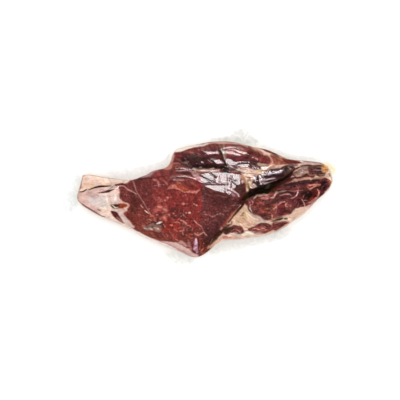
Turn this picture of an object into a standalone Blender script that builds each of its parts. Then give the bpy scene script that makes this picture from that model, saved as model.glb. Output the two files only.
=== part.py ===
"""Boneless dry-cured ham, vacuum packed in clear shrink film, lying on its fat side.

The ham is a pillow of two sheets that meet at its outline: the lean face above and the fat
side below. Muscles and creases are raised or sunk along paths on the lean face. The film hugs
the ham, so it adds only the thin margin of two welded layers that stands out all round.

Plan points and relief are in millimetres, x from the shank to the rump and y across.
The named sizes are in metres.
"""

import math

import bmesh
import bpy
import numpy as np

MM = 0.001

# Driving dimensions
HAM_LENGTH = 0.540
EQUATOR_HEIGHT = 0.030  # height of the outline, where the two sheets meet
CROWN_HEIGHT = 0.056  # of the lean face above the outline, at the middle of the body
BELLY_DEPTH = 0.034  # of the fat side below the outline, before the table flattens it
BELLY_SETTLE = 0.003  # the fat side eases into the table over this height
FILM_MARGIN_THICKNESS = 0.001
SHEET_COLUMNS = 170
SHEET_ROWS = 80
KEPT_FACES = 0.15  # share of the fine sheets' faces left after thinning

# How square the pillow is. Its fall-off is (1 - a^power)^(1/root), with a from 0 in the middle to 1
# at the edge
SHANK_POWER = 22.0  # the shank is sawn off square
RUMP_POWER = 5.0
LEAN_FACE_POWER = 2.7
FAT_SIDE_POWER = 3.4
PROFILE_ROOT = 2.2

# The ham's outline, in four runs that share their ends
UPPER_EDGE = [
    (-247, 48), (-231, 49), (-210, 45), (-189, 42), (-168, 39), (-151, 38), (-136, 40), (-126, 44),
    (-113, 49), (-101, 56), (-88, 60), (-78, 62), (-67, 68), (-61, 80), (-57, 92), (-51, 101),
    (-40, 105), (-21, 110), (0, 114), (21, 118), (38, 119), (59, 119), (80, 116), (99, 111),
    (116, 107), (132, 104), (149, 99), (166, 91), (185, 83), (202, 80), (218, 79), (237, 77),
    (256, 74), (269, 67),
]
LOWER_EDGE = [
    (-256, -8), (-246, -17), (-231, -27), (-210, -38), (-189, -46), (-168, -55), (-147, -65),
    (-126, -77), (-105, -87), (-84, -96), (-63, -105), (-42, -113), (-23, -122), (-10, -125),
    (2, -122), (15, -114), (25, -105), (36, -96), (50, -90), (67, -88), (88, -86), (109, -83),
    (130, -80), (151, -75), (168, -68), (183, -59), (195, -49), (210, -40), (223, -29), (235, -17),
    (248, -3), (260, 7), (272, 19),
]
SHANK_END = [(-256, -8), (-259, 2), (-256, 15), (-251, 32), (-247, 48)]
RUMP_END = [(272, 19), (277, 29), (279, 38), (276, 52), (269, 67)]

# The film's outline, clockwise from the shank: it bridges the hollows and leaves an ear at each fold
FILM_OUTLINE = [
    (-293, -20), (-286, 6), (-275, 32), (-260, 50), (-242, 58), (-189, 61), (-158, 63), (-116, 69),
    (-84, 77), (-69, 89), (-59, 107), (-42, 116), (-10, 125), (32, 131), (59, 139), (84, 147),
    (99, 143), (111, 131), (130, 117), (158, 108), (189, 98), (220, 90), (256, 86), (277, 80),
    (290, 66), (293, 46), (286, 21), (266, -4), (240, -32), (220, -46), (203, -63), (185, -79),
    (168, -89), (143, -95), (116, -101), (84, -109), (52, -118), (32, -124), (10, -131), (-10, -137),
    (-21, -143), (-34, -147), (-52, -141), (-69, -127), (-84, -117), (-105, -104), (-132, -89),
    (-168, -70), (-210, -50), (-242, -36), (-262, -33), (-275, -38), (-288, -34),
]

# Share of CROWN_HEIGHT and of BELLY_DEPTH along the ham: the shank is thin and its fat side clears the table
CROWN_ALONG = [(-260, 0.40), (-225, 0.42), (-185, 0.47), (-150, 0.58), (-100, 0.80), (-50, 0.94),
               (0, 1.00), (60, 1.00), (120, 0.95), (180, 0.86), (230, 0.72), (280, 0.58)]
BELLY_ALONG = [(-260, 0.64), (-200, 0.72), (-150, 0.88), (-110, 1.00), (210, 1.00), (280, 0.78)]

# Relief of the lean face, in millimetres: the height at the path's middle line (negative sinks it),
# how far it reaches to the left and to the right of the path, and the path
RELIEF = {
    "top muscle": (8, 15, 17, [
        (-48, 89), (-21, 96), (10, 98), (42, 99), (58, 96), (74, 94), (105, 88), (130, 79), (145, 70)
    ]),
    "crease under top muscle": (-10, 7, 26, [
        (-55, 76), (-32, 74), (-10, 67), (10, 65), (30, 66), (44, 66)
    ]),
    "crease right of top muscle": (-9, 5, 20, [
        (57, 82), (72, 81), (86, 79), (100, 75), (114, 68), (124, 62)
    ]),
    "top muscle outer edge": (9, 8, 8, [(48, 109), (70, 107), (88, 103), (102, 97)]),
    "shoulder": (5, 26, 22, [(10, 16), (40, 12), (66, 6)]),
    "crease across top muscle": (-5, 5, 4, [(36, 116), (44, 99), (49, 82), (55, 70), (61, 60)]),
    "main muscle": (5, 48, 42, [(-135, 10), (-80, -20), (-30, -50), (0, -85)]),
    "main muscle right edge": (-9, 17, 7.5, [
        (88, -4), (78, -19), (61, -34), (48, -48), (34, -67), (23, -84), (13, -103)
    ]),
    "deep crease": (-19, 8, 6, [
        (88, -8), (96, 0), (106, 7), (118, 12.5), (132, 17), (146, 22), (160, 29), (176, 37), (191, 46),
        (204, 59)
    ]),
    "rolled muscle": (8, 12, 12, [(109, 27), (130, 40), (151, 48), (176, 58), (202, 64)]),
    "fat gully": (-5, 7, 7, [(76, 57), (99, 61), (122, 66), (147, 69), (176, 73)]),
    "fat gully end": (-4, 6, 6, [(94, 50), (97, 34), (98, 18)]),
    "rump muscle": (8, 24, 22, [(116, -15), (143, -19), (172, -13), (206, 0), (235, 13), (258, 23)]),
    "rump knob": (5, 10, 10, [(206, 56), (227, 58), (248, 56), (262, 52)]),
    "notch under knob": (-6, 5, 5, [(195, 42), (215, 43), (240, 42), (268, 40)]),
    "low fat": (-5, 18, 14, [(62, -58), (95, -52), (122, -60), (160, -62)]),
    "low muscle oval": (4, 8, 8, [(105, -64), (130, -66), (148, -60)]),
    "low muscle end": (4, 6, 6, [(155, -52), (175, -46), (188, -42)]),
    "low muscle start": (3, 7, 7, [(52, -60), (72, -65), (86, -64)]),
    "muscle front": (-3, 3, 10, [
        (-147, 38), (-172, 20), (-168, -5), (-152, -32), (-140, -50), (-126, -68)
    ]),
    "shank skin flap": (4, 9, 9, [(-240, 34), (-215, 36), (-190, 36), (-165, 36)]),
    "slit under flap": (-5, 2.5, 3.5, [(-250, 16), (-235, 19), (-220, 26), (-205, 28), (-192, 27)]),
    "slit at tendon": (-4, 2.5, 2.5, [(-210, 13), (-195, 15), (-184, 21)]),
    "tendon": (4, 9, 9, [(-180, 22), (-176, 6), (-178, -8)]),
    "bone canal": (-8, 7, 7, [(-180, -17), (-160, -16)]),
    "groove under shank": (-3, 3, 3, [(-250, -12), (-228, -24), (-202, -36)]),
    "gap below canal": (-4, 5, 5, [(-183, -30), (-172, -39), (-160, -49)]),
}


def clear_scene():
    for obj in list(bpy.data.objects):
        bpy.data.objects.remove(obj, do_unlink=True)


def smooth_path(points, closed=False, steps=12):
    """A dense Catmull-Rom curve through the points."""
    knots = np.array(points, float)
    if closed:
        knots = np.vstack([knots[-1], knots, knots[:2]])
    else:
        knots = np.vstack([2 * knots[0] - knots[1], knots, 2 * knots[-1] - knots[-2]])
    t = np.linspace(0, 1, steps, endpoint=False)[:, None]
    runs = []
    for a, b, c, d in zip(knots, knots[1:], knots[2:], knots[3:]):
        square = 2 * a - 5 * b + 4 * c - d
        cube = 3 * b - a - 3 * c + d
        runs.append((2 * b + (c - a) * t + square * t**2 + cube * t**3) / 2)
    if not closed:
        runs.append(knots[-2:-1])
    return np.vstack(runs)


def fall_off(a, power):
    """1 in the middle, 0 at a = 1, with an upright side."""
    return (1 - np.clip(np.abs(a), 0, 1) ** power) ** (1 / PROFILE_ROOT)


def along_profile(a):
    return fall_off(a, np.where(a < 0, SHANK_POWER, RUMP_POWER))


def across_profile(a):
    return fall_off(a, LEAN_FACE_POWER)


def even_steps(cells, length, height, profile):
    """Places from 0 to 1, evenly spaced along the side profile, so the upright sides get their faces too."""
    fine = np.sin(np.linspace(-math.pi / 2, math.pi / 2, 4001))
    rise = height * profile(fine)
    along = np.concatenate([[0], np.cumsum(np.hypot(np.diff(fine) * length / 2, np.diff(rise)))])
    return (np.interp(np.linspace(0, along[-1], cells + 1), along, fine) + 1) / 2


def outline_point(run, share, axis):
    """The point of a run of the outline at this share of its extent along x (axis 0) or y (axis 1)."""
    path = smooth_path(run)
    key = path[0, axis] + share * (path[-1, axis] - path[0, axis])
    return np.stack([np.interp(key, path[:, axis], path[:, i]) for i in (0, 1)], axis=-1)


def film_outline():
    return smooth_path(FILM_OUTLINE, closed=True, steps=3)


def plan_centre():
    """The middle of the film's outline, which the frame's origin lies under."""
    path = film_outline()
    return (path.min(0) + path.max(0)) / 2


def plan_point(u, v):
    """The plan place of (u, v) on a patch stretched between the four runs of the outline."""
    low, high = outline_point(LOWER_EDGE, u, 0), outline_point(UPPER_EDGE, u, 0)
    left, right = outline_point(SHANK_END, v, 1), outline_point(RUMP_END, v, 1)
    u, v = u[:, None], v[:, None]
    low_ends = (1 - u) * np.array(LOWER_EDGE[0]) + u * np.array(LOWER_EDGE[-1])
    high_ends = (1 - u) * np.array(UPPER_EDGE[0]) + u * np.array(UPPER_EDGE[-1])
    corners = (1 - v) * low_ends + v * high_ends
    return (1 - v) * low + v * high + (1 - u) * left + u * right - corners


def path_distance(points, path):
    """Distance of each point from the path, and its side: 1 left, -1 right, in between past an end."""
    best = np.full(len(points), 1e9)
    side = np.zeros(len(points))
    for start, end in zip(path, path[1:]):
        along = end - start
        away = points - start
        share = np.clip(away @ along / (along @ along), 0, 1)
        away = away - share[:, None] * along
        gap = np.linalg.norm(away, axis=1) + 1e-9
        nearer = gap < best
        turn = (along[0] * away[:, 1] - along[1] * away[:, 0]) / (gap * np.linalg.norm(along))
        best[nearer] = gap[nearer]
        side[nearer] = turn[nearer]
    return best, side


def relief_height(points):
    """Rise or fall of the lean face at each plan point, in millimetres."""
    total = np.zeros(len(points))
    for height, left, right, path in RELIEF.values():
        distance, side = path_distance(points, smooth_path(path, steps=6))
        reach = (left * (1 + side) + right * (1 - side)) / 2
        total += height * np.exp(-((distance / reach) ** 2))
    return total


def along_ham(table, x):
    return np.interp(x, [row[0] for row in table], [row[1] for row in table])


def lean_face_height(u, v, plan):
    crown = CROWN_HEIGHT / MM * along_ham(CROWN_ALONG, plan[:, 0])
    edge = along_profile(2 * u - 1) * across_profile(2 * v - 1)
    return EQUATOR_HEIGHT / MM + (crown + relief_height(plan)) * edge


def fat_side_height(u, v, plan):
    belly = BELLY_DEPTH / MM * along_ham(BELLY_ALONG, plan[:, 0])
    edge = along_profile(2 * u - 1) * fall_off(2 * v - 1, FAT_SIDE_POWER)
    level = EQUATOR_HEIGHT / MM - belly * edge
    soft = BELLY_SETTLE / MM
    return np.where(level > soft, level, np.maximum(level + soft, 0.0) ** 2 / (4 * soft))


def add_sheet(bm, height, steps_u, steps_v, upwards):
    """A grid laid over the ham's plan at the given height, facing up or down."""
    columns, rows = len(steps_u) - 1, len(steps_v) - 1
    made = bmesh.ops.create_grid(bm, x_segments=columns, y_segments=rows, size=1.0)
    verts = made["verts"]
    flat = np.array([vert.co[:2] for vert in verts])
    u = steps_u[np.rint((flat[:, 0] + 1) / 2 * columns).astype(int)]
    v = steps_v[np.rint((flat[:, 1] + 1) / 2 * rows).astype(int)]
    plan = plan_point(u, v)
    level = height(u, v, plan)
    plan = plan - plan_centre()
    for vert, place, z in zip(verts, plan, level):
        vert.co = (place[0] * MM, place[1] * MM, z * MM)
    if not upwards:
        bmesh.ops.reverse_faces(bm, faces=list({face for vert in verts for face in vert.link_faces}))


def material(name, colour, roughness):
    made = bpy.data.materials.new(name)
    made.use_nodes = True
    shader = made.node_tree.nodes["Principled BSDF"]
    shader.inputs["Base Color"].default_value = (*colour, 1.0)
    shader.inputs["Roughness"].default_value = roughness
    shader.inputs["Metallic"].default_value = 0.0
    return made


def collection(name):
    made = bpy.data.collections.new(name)
    bpy.context.scene.collection.children.link(made)
    return made


def build_ham(parts):
    bm = bmesh.new()
    across = max(y for _, y in UPPER_EDGE) - min(y for _, y in LOWER_EDGE)
    rise = CROWN_HEIGHT / MM
    steps_u = even_steps(SHEET_COLUMNS, HAM_LENGTH / MM, rise, along_profile)
    steps_v = even_steps(SHEET_ROWS, across, rise, across_profile)
    add_sheet(bm, lean_face_height, steps_u, steps_v, upwards=True)
    add_sheet(bm, fat_side_height, steps_u, steps_v, upwards=False)
    bmesh.ops.remove_doubles(bm, verts=bm.verts, dist=0.00002)
    mesh = bpy.data.meshes.new("packed_ham")
    bm.to_mesh(mesh)
    bm.free()
    ham = bpy.data.objects.new("packed_ham", mesh)
    parts.objects.link(ham)
    mesh.materials.append(material("cured_meat_under_film", (0.20, 0.03, 0.025), 0.25))
    thin = ham.modifiers.new("thin", "DECIMATE")
    thin.ratio = KEPT_FACES
    return ham


def build_film_margin(helpers):
    """The two welded layers of film round the ham, as one flat plate that the ham sits in."""
    curve = bpy.data.curves.new("film_margin", "CURVE")
    curve.dimensions = "2D"
    curve.fill_mode = "BOTH"
    curve.extrude = FILM_MARGIN_THICKNESS / 2
    path = (film_outline() - plan_centre()) * MM
    spline = curve.splines.new("POLY")
    spline.points.add(len(path) - 1)
    for point, (x, y) in zip(spline.points, path):
        point.co = (x, y, 0.0, 1.0)
    spline.use_cyclic_u = True
    outline = bpy.data.objects.new("film_margin_outline", curve)
    helpers.objects.link(outline)
    outline.location.z = EQUATOR_HEIGHT
    bpy.context.view_layer.update()
    graph = bpy.context.evaluated_depsgraph_get()
    mesh = bpy.data.meshes.new_from_object(outline.evaluated_get(graph))
    bm = bmesh.new()
    bm.from_mesh(mesh)
    bmesh.ops.remove_doubles(bm, verts=bm.verts, dist=0.00002)
    bmesh.ops.recalc_face_normals(bm, faces=bm.faces)
    bm.to_mesh(mesh)
    bm.free()
    margin = bpy.data.objects.new("film_margin", mesh)
    margin.matrix_world = outline.matrix_world
    helpers.objects.link(margin)
    bpy.data.objects.remove(outline)
    margin.hide_render = True
    margin.display_type = "WIRE"
    return margin


def main():
    clear_scene()
    parts = collection("packed_boneless_ham")
    helpers = collection("helpers")
    ham = build_ham(parts)
    margin = build_film_margin(helpers)
    weld = ham.modifiers.new("film_margin", "BOOLEAN")
    weld.operation = "UNION"
    weld.object = margin
    weld.solver = "EXACT"


main()
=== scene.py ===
import math

import bmesh
import bpy
import numpy as np
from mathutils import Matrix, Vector


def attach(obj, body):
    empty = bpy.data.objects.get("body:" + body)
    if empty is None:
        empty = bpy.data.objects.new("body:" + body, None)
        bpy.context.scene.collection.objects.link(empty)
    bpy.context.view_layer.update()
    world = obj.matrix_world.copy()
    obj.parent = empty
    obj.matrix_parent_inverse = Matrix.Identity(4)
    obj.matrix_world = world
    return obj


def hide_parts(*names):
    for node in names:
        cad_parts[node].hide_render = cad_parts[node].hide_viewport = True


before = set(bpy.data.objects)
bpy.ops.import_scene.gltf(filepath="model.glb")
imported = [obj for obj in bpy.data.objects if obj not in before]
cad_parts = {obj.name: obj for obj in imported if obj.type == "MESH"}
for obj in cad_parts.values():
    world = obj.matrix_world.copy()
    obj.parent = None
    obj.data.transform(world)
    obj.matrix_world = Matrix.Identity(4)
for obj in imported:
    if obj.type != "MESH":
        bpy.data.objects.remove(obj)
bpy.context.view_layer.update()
mm = 0.001

# shape of the ham, the same pillow as the solid it replaces;
# plan points are millimetres, x from shank to rump, y across; heights below are millimetres too
ham = {
    "length": 540.0,
    "width": 244.0,
    "equator": 30.0,
    "crown": 56.0,
    "belly": 34.0,
    "settle": 3.0,  # how softly the fat side turns into the flat that it rests on
    "shankPower": 22.0,
    "rumpPower": 5.0,
    "leanPower": 2.7,
    "fatPower": 3.4,
    "profileRoot": 2.2,
    "lumps": 0.35,  # unevenness of the lean face
    "lumpSize": 7.0,
    "swells": 0.5,
    "swellSize": 19.0,
    "columns": 430,
    "rows": 184,
    # from and to, as shares of the length or width, and how many times closer the faces lie there
    "closerAlong": (0.36, 1.0, 1.25),
    "closerAcross": (0.0, 1.0, 1.0),
    "upperEdge": [
        (-247, 48), (-231, 49), (-210, 45), (-189, 42), (-168, 39), (-151, 38), (-136, 40), (-126, 44),
        (-113, 49), (-101, 56), (-88, 60), (-78, 62), (-67, 68), (-61, 80), (-57, 92), (-51, 101),
        (-40, 105), (-21, 110), (0, 114), (21, 118), (38, 119), (59, 119), (80, 116), (99, 111),
        (116, 107), (132, 104), (149, 99), (166, 91), (185, 83), (202, 80), (218, 79), (237, 77),
        (256, 74), (269, 67),
    ],
    "lowerEdge": [
        (-256, -8), (-246, -17), (-231, -27), (-210, -38), (-189, -46), (-168, -55), (-147, -65),
        (-126, -77), (-105, -87), (-84, -96), (-63, -105), (-42, -113), (-23, -122), (-10, -125),
        (2, -122), (15, -114), (25, -105), (36, -96), (50, -90), (67, -88), (88, -86), (109, -83),
        (130, -80), (151, -75), (168, -68), (183, -59), (195, -49), (210, -40), (223, -29), (235, -17),
        (248, -3), (260, 7), (272, 19),
    ],
    "shankEnd": [(-256, -8), (-259, 2), (-256, 15), (-251, 32), (-247, 48)],
    "rumpEnd": [(272, 19), (277, 29), (279, 38), (276, 52), (269, 67)],
    "filmOutline": [
        (-293, -20), (-286, 6), (-275, 32), (-260, 50), (-242, 58), (-189, 61), (-158, 63), (-116, 69),
        (-84, 77), (-69, 89), (-59, 107), (-42, 116), (-10, 125), (32, 131), (59, 139), (84, 147),
        (99, 143), (111, 131), (130, 117), (158, 108), (189, 98), (220, 90), (256, 86), (277, 80),
        (290, 66), (293, 46), (286, 21), (266, -4), (240, -32), (220, -46), (203, -63), (185, -79),
        (168, -89), (143, -95), (116, -101), (84, -109), (52, -118), (32, -124), (10, -131), (-10, -137),
        (-21, -143), (-34, -147), (-52, -141), (-69, -127), (-84, -117), (-105, -104), (-132, -89),
        (-168, -70), (-210, -50), (-242, -36), (-262, -33), (-275, -38), (-288, -34),
    ],
    "crownAlong": [(-260, 0.40), (-225, 0.42), (-185, 0.47), (-150, 0.58), (-100, 0.80), (-50, 0.94),
                   (0, 1.00), (60, 1.00), (120, 0.95), (180, 0.86), (230, 0.72), (280, 0.58)],
    "bellyAlong": [(-260, 0.64), (-200, 0.72), (-150, 0.88), (-110, 1.00), (210, 1.00), (280, 0.78)],
}

# muscles and creases: height, reach to the left and to the right of the path, path
reliefForms = {
    "top muscle": (8, 15, 17, [
        (-48, 89), (-21, 96), (10, 98), (42, 99), (58, 96), (74, 94), (105, 88), (130, 79), (145, 70)]),
    "crease under top muscle": (-10, 7, 26, [(-55, 76), (-32, 74), (-10, 67), (10, 65), (30, 66), (44, 66)]),
    "crease right of top muscle": (-9, 5, 20, [(57, 82), (72, 81), (86, 79), (100, 75), (114, 68), (124, 62)]),
    "top muscle outer edge": (9, 8, 8, [(48, 109), (70, 107), (88, 103), (102, 97)]),
    "shoulder": (5, 26, 22, [(10, 16), (40, 12), (66, 6)]),
    "crease across top muscle": (-5, 5, 4, [(36, 116), (44, 99), (49, 82), (55, 70), (61, 60)]),
    "main muscle": (5, 48, 42, [(-135, 10), (-80, -20), (-30, -50), (0, -85)]),
    "main muscle right edge": (-9, 17, 7.5, [
        (88, -4), (78, -19), (61, -34), (48, -48), (34, -67), (23, -84), (13, -103)]),
    "deep crease": (-19, 8, 6, [
        (88, -8), (96, 0), (106, 7), (118, 12.5), (132, 17), (146, 22), (160, 29), (176, 37), (191, 46), (204, 59)]),
    "rolled muscle": (8, 12, 12, [(109, 27), (130, 40), (151, 48), (176, 58), (202, 64)]),
    "fat gully": (-5, 7, 7, [(76, 57), (99, 61), (122, 66), (147, 69), (176, 73)]),
    "fat gully end": (-4, 6, 6, [(94, 50), (97, 34), (98, 18)]),
    "rump muscle": (8, 24, 22, [(116, -15), (143, -19), (172, -13), (206, 0), (235, 13), (258, 23)]),
    "rump knob": (5, 10, 10, [(206, 56), (227, 58), (248, 56), (262, 52)]),
    "notch under knob": (-6, 5, 5, [(195, 42), (215, 43), (240, 42), (268, 40)]),
    "low fat": (-5, 18, 14, [(62, -58), (95, -52), (122, -60), (160, -62)]),
    "low muscle oval": (4, 8, 8, [(105, -64), (130, -66), (148, -60)]),
    "low muscle end": (4, 6, 6, [(155, -52), (175, -46), (188, -42)]),
    "low muscle start": (3, 7, 7, [(52, -60), (72, -65), (86, -64)]),
    "muscle front": (-3, 3, 10, [(-147, 38), (-172, 20), (-168, -5), (-152, -32), (-140, -50), (-126, -68)]),
    "shank skin flap": (4, 9, 9, [(-240, 34), (-215, 36), (-190, 36), (-165, 36)]),
    "slit under flap": (-5, 2.5, 3.5, [(-250, 16), (-235, 19), (-220, 26), (-205, 28), (-192, 27)]),
    "slit at tendon": (-4, 2.5, 2.5, [(-210, 13), (-195, 15), (-184, 21)]),
    "tendon": (4, 9, 9, [(-180, 22), (-176, 6), (-178, -8)]),
    "bone canal": (-8, 7, 7, [(-180, -17), (-160, -16)]),
    "groove under shank": (-3, 3, 3, [(-250, -12), (-228, -24), (-202, -36)]),
    "gap below canal": (-4, 5, 5, [(-183, -30), (-172, -39), (-160, -49)]),
}


def smoothPath(points, closed=False, steps=12):
    # a dense curve through the points; a third column, such as a width, is carried along
    knots = np.array(points, float)
    if closed:
        knots = np.vstack([knots[-1], knots, knots[:2]])
    else:
        knots = np.vstack([2 * knots[0] - knots[1], knots, 2 * knots[-1] - knots[-2]])
    t = np.linspace(0, 1, steps, endpoint=False)[:, None]
    runs = []
    for a, b, c, d in zip(knots, knots[1:], knots[2:], knots[3:]):
        square = 2 * a - 5 * b + 4 * c - d
        cube = 3 * b - a - 3 * c + d
        runs.append((2 * b + (c - a) * t + square * t**2 + cube * t**3) / 2)
    if not closed:
        runs.append(knots[-2:-1])
    return np.vstack(runs)


def nearestOnPath(points, path):
    # distance, side (1 left, -1 right) and place along the path, counted in path points
    best = np.full(len(points), 1e9)
    side = np.zeros(len(points))
    place = np.zeros(len(points))
    for index, (start, end) in enumerate(zip(path, path[1:])):
        along = end - start
        away = points - start
        share = np.clip(away @ along / (along @ along), 0, 1)
        away = away - share[:, None] * along
        gap = np.hypot(away[:, 0], away[:, 1]) + 1e-9
        nearer = gap < best
        turn = (along[0] * away[:, 1] - along[1] * away[:, 0]) / (gap * np.hypot(*along))
        best[nearer] = gap[nearer]
        side[nearer] = turn[nearer]
        place[nearer] = index + share[nearer]
    return best, side, place


def insideLoop(points, loop):
    inside = np.zeros(len(points), bool)
    for (x0, y0), (x1, y1) in zip(loop, np.roll(loop, -1, axis=0)):
        if y0 != y1:
            crosses = (points[:, 1] < y0) != (points[:, 1] < y1)
            at = x0 + (points[:, 1] - y0) * (x1 - x0) / (y1 - y0)
            inside ^= crosses & (points[:, 0] < at)
    return inside


def nearBox(points, shape, reach):
    low = shape[:, :2].min(0) - reach
    high = shape[:, :2].max(0) + reach
    return np.flatnonzero(((points > low) & (points < high)).all(1))


def smoothRamp(value, low, high):
    t = np.clip((value - low) / (high - low), 0, 1)
    return t * t * (3 - 2 * t)


def hills(x, y, size, seed):
    # soft random hills about size mm across, from -1 to 1
    table = np.random.default_rng(seed).uniform(-1, 1, (256, 256))
    gx, gy = x / size + 1024, y / size + 1024
    ix, iy = np.floor(gx).astype(int), np.floor(gy).astype(int)
    fx, fy = smoothRamp(gx - ix, 0, 1), smoothRamp(gy - iy, 0, 1)
    low = table[ix % 256, iy % 256] * (1 - fx) + table[(ix + 1) % 256, iy % 256] * fx
    high = table[ix % 256, (iy + 1) % 256] * (1 - fx) + table[(ix + 1) % 256, (iy + 1) % 256] * fx
    return low * (1 - fy) + high * fy


def roughHills(x, y, size, seed, octaves=3):
    total = sum(hills(x, y, size / 2**k, seed + k) / 2**k for k in range(octaves))
    return total / (2 - 2 / 2**octaves)


def fallOff(a, power):
    return (1 - np.clip(np.abs(a), 0, 1) ** power) ** (1 / ham["profileRoot"])


def alongProfile(a):
    return fallOff(a, np.where(a < 0, ham["shankPower"], ham["rumpPower"]))


def acrossProfile(a):
    return fallOff(a, ham["leanPower"])


def evenSteps(cells, length, height, profile, closer):
    # even along the side profile, so the upright sides get their faces too, and closer where more shows
    fine = np.sin(np.linspace(-math.pi / 2, math.pi / 2, 4001))
    pace = np.hypot(np.diff(fine) * length / 2, np.diff(height * profile(fine)))
    start, end, times = closer
    middle = (fine[1:] + 1) / 2
    pace *= 1 + (times - 1) * ((middle > start) & (middle < end))
    along = np.concatenate([[0], np.cumsum(pace)])
    return (np.interp(np.linspace(0, along[-1], cells + 1), along, fine) + 1) / 2


def outlinePoint(run, share, axis):
    path = smoothPath(run)
    key = path[0, axis] + share * (path[-1, axis] - path[0, axis])
    return np.stack([np.interp(key, path[:, axis], path[:, i]) for i in (0, 1)], axis=-1)


def planPoint(u, v):
    low, high = outlinePoint(ham["lowerEdge"], u, 0), outlinePoint(ham["upperEdge"], u, 0)
    left, right = outlinePoint(ham["shankEnd"], v, 1), outlinePoint(ham["rumpEnd"], v, 1)
    u, v = u[:, None], v[:, None]
    lowEnds = (1 - u) * np.array(ham["lowerEdge"][0]) + u * np.array(ham["lowerEdge"][-1])
    highEnds = (1 - u) * np.array(ham["upperEdge"][0]) + u * np.array(ham["upperEdge"][-1])
    return (1 - v) * low + v * high + (1 - u) * left + u * right - (1 - v) * lowEnds - v * highEnds


def reliefHeight(points, forms):
    total = np.zeros(len(points))
    for height, left, right, path in forms.values():
        path = smoothPath(path, steps=6)
        near = nearBox(points, path, 3 * max(left, right))
        distance, side, place = nearestOnPath(points[near], path)
        reach = (left * (1 + side) + right * (1 - side)) / 2
        total[near] += height * np.exp(-((distance / reach) ** 2))
    return total


def alongHam(table, x):
    return np.interp(x, [row[0] for row in table], [row[1] for row in table])


def leanHeight(u, v, plan):
    edge = alongProfile(2 * u - 1) * acrossProfile(2 * v - 1)
    crown = ham["crown"] * alongHam(ham["crownAlong"], plan[:, 0])
    grain = ham["lumps"] * roughHills(*plan.T, ham["lumpSize"], 40)
    grain += ham["swells"] * hills(*plan.T, ham["swellSize"], 44)
    return ham["equator"] + (crown + reliefHeight(plan, reliefForms) + grain) * edge


def fatHeight(u, v, plan):
    edge = alongProfile(2 * u - 1) * fallOff(2 * v - 1, ham["fatPower"])
    level = ham["equator"] - ham["belly"] * alongHam(ham["bellyAlong"], plan[:, 0]) * edge
    soft = ham["settle"]
    return np.where(level > soft, level, np.maximum(level + soft, 0) ** 2 / (4 * soft))


stepsU = evenSteps(ham["columns"], ham["length"], ham["crown"], alongProfile, ham["closerAlong"])
stepsV = evenSteps(ham["rows"], ham["width"], ham["crown"], acrossProfile, ham["closerAcross"])
filmLoop = smoothPath(ham["filmOutline"], closed=True, steps=3)
planCentre = (filmLoop.min(0) + filmLoop.max(0)) / 2
gridU, gridV = [a.ravel() for a in np.meshgrid(stepsU, stepsV, indexing="ij")]
hamPlan = planPoint(gridU, gridV)
leanLevel = leanHeight(gridU, gridV, hamPlan)
fatLevel = fatHeight(gridU, gridV, hamPlan)
print("ham sheets worked out:", len(hamPlan), "points each")

film = {
    "gap": 0.35,  # between film and meat
    "leanBlur": 1.0,
    "ease": 1.6,  # how far the film rounds over edges
    "yield": 5.0,  # how far the soft meat gives way under a taut crease, and how far it is drawn up
    "tent": 4.5,
    # slopes of the facets that catch the window card, its glow, or neither
    "bright": 0.43,
    "dim": 0.335,
    "dull": 0.05,
    "dullAbove": 0.60,  # the film elsewhere is bent out of the slopes between these two
    "dullBelow": 0.24,
    "dullAside": 0.24,  # film tipped further to the side than this is left as it is
    "dullAsideSoft": 0.06,
    "crinkle": 0.025,
    "crinkleSize": 2.4,
    "reach": 14.0,  # how far a facet lifts the film around it
    "rounds": 14,
    "roundBlur": 0.4,
    "facetSoft": 0.6,
    "facetWobble": 0.5,
    "facetWobbleSize": 5.0,
    "facetMargin": 8.0,  # searched round a facet
    "innerFrom": 0.38,  # share of the full height where the film leaves the lean face, and where it is all its own
    "innerTo": 0.62,
    "columns": 400,
    "rows": 190,
    "closerAlong": (0.46, 0.82, 2.6),
    "closerAcross": (0.42, 0.96, 2.1),
    "grow": 1.002,  # the film's rim lies just outside the meat's
    "keptShare": 0.60,  # of all faces, once those below are thinned
    "marginWave": 1.5,
    "marginWaveFull": 0.45,  # shares of the margin's width: the wave is at its full height, then dies down a little
    "marginWaveDown": 0.75,
    "marginWaveLoss": 0.6,
    "marginRings": 6,
    "marginCrowding": 1.3,
    "marginEven": 14,  # rim points either way over which the margin's lines are evened out
    "waveSize": 9.0,
    "ruffle": 0.6,  # a finer wave, as a share of the first
    "ruffleSize": 4.0,
    "lowest": 0.05,  # of the film over the table
    "marginMatt": 0.75,  # how much of its shine the slack margin lacks
    "marginMattEdge": (-6, -1),  # from the rim, outwards
    "mattSoft": 3.0,
    "hazeEdge": (-7, 5),  # across the edge of a gathered patch, outwards
    "rimStep": 4,  # enough rim points for that edge
}
# the film's level over the table, on a raster of 1 mm cells
rasterX = np.arange(-310.0, 311.0)
rasterY = np.arange(-165.0, 166.0)
rasterPoints = np.stack([a.ravel() for a in np.meshgrid(rasterX, rasterY, indexing="ij")], axis=-1)

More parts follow.
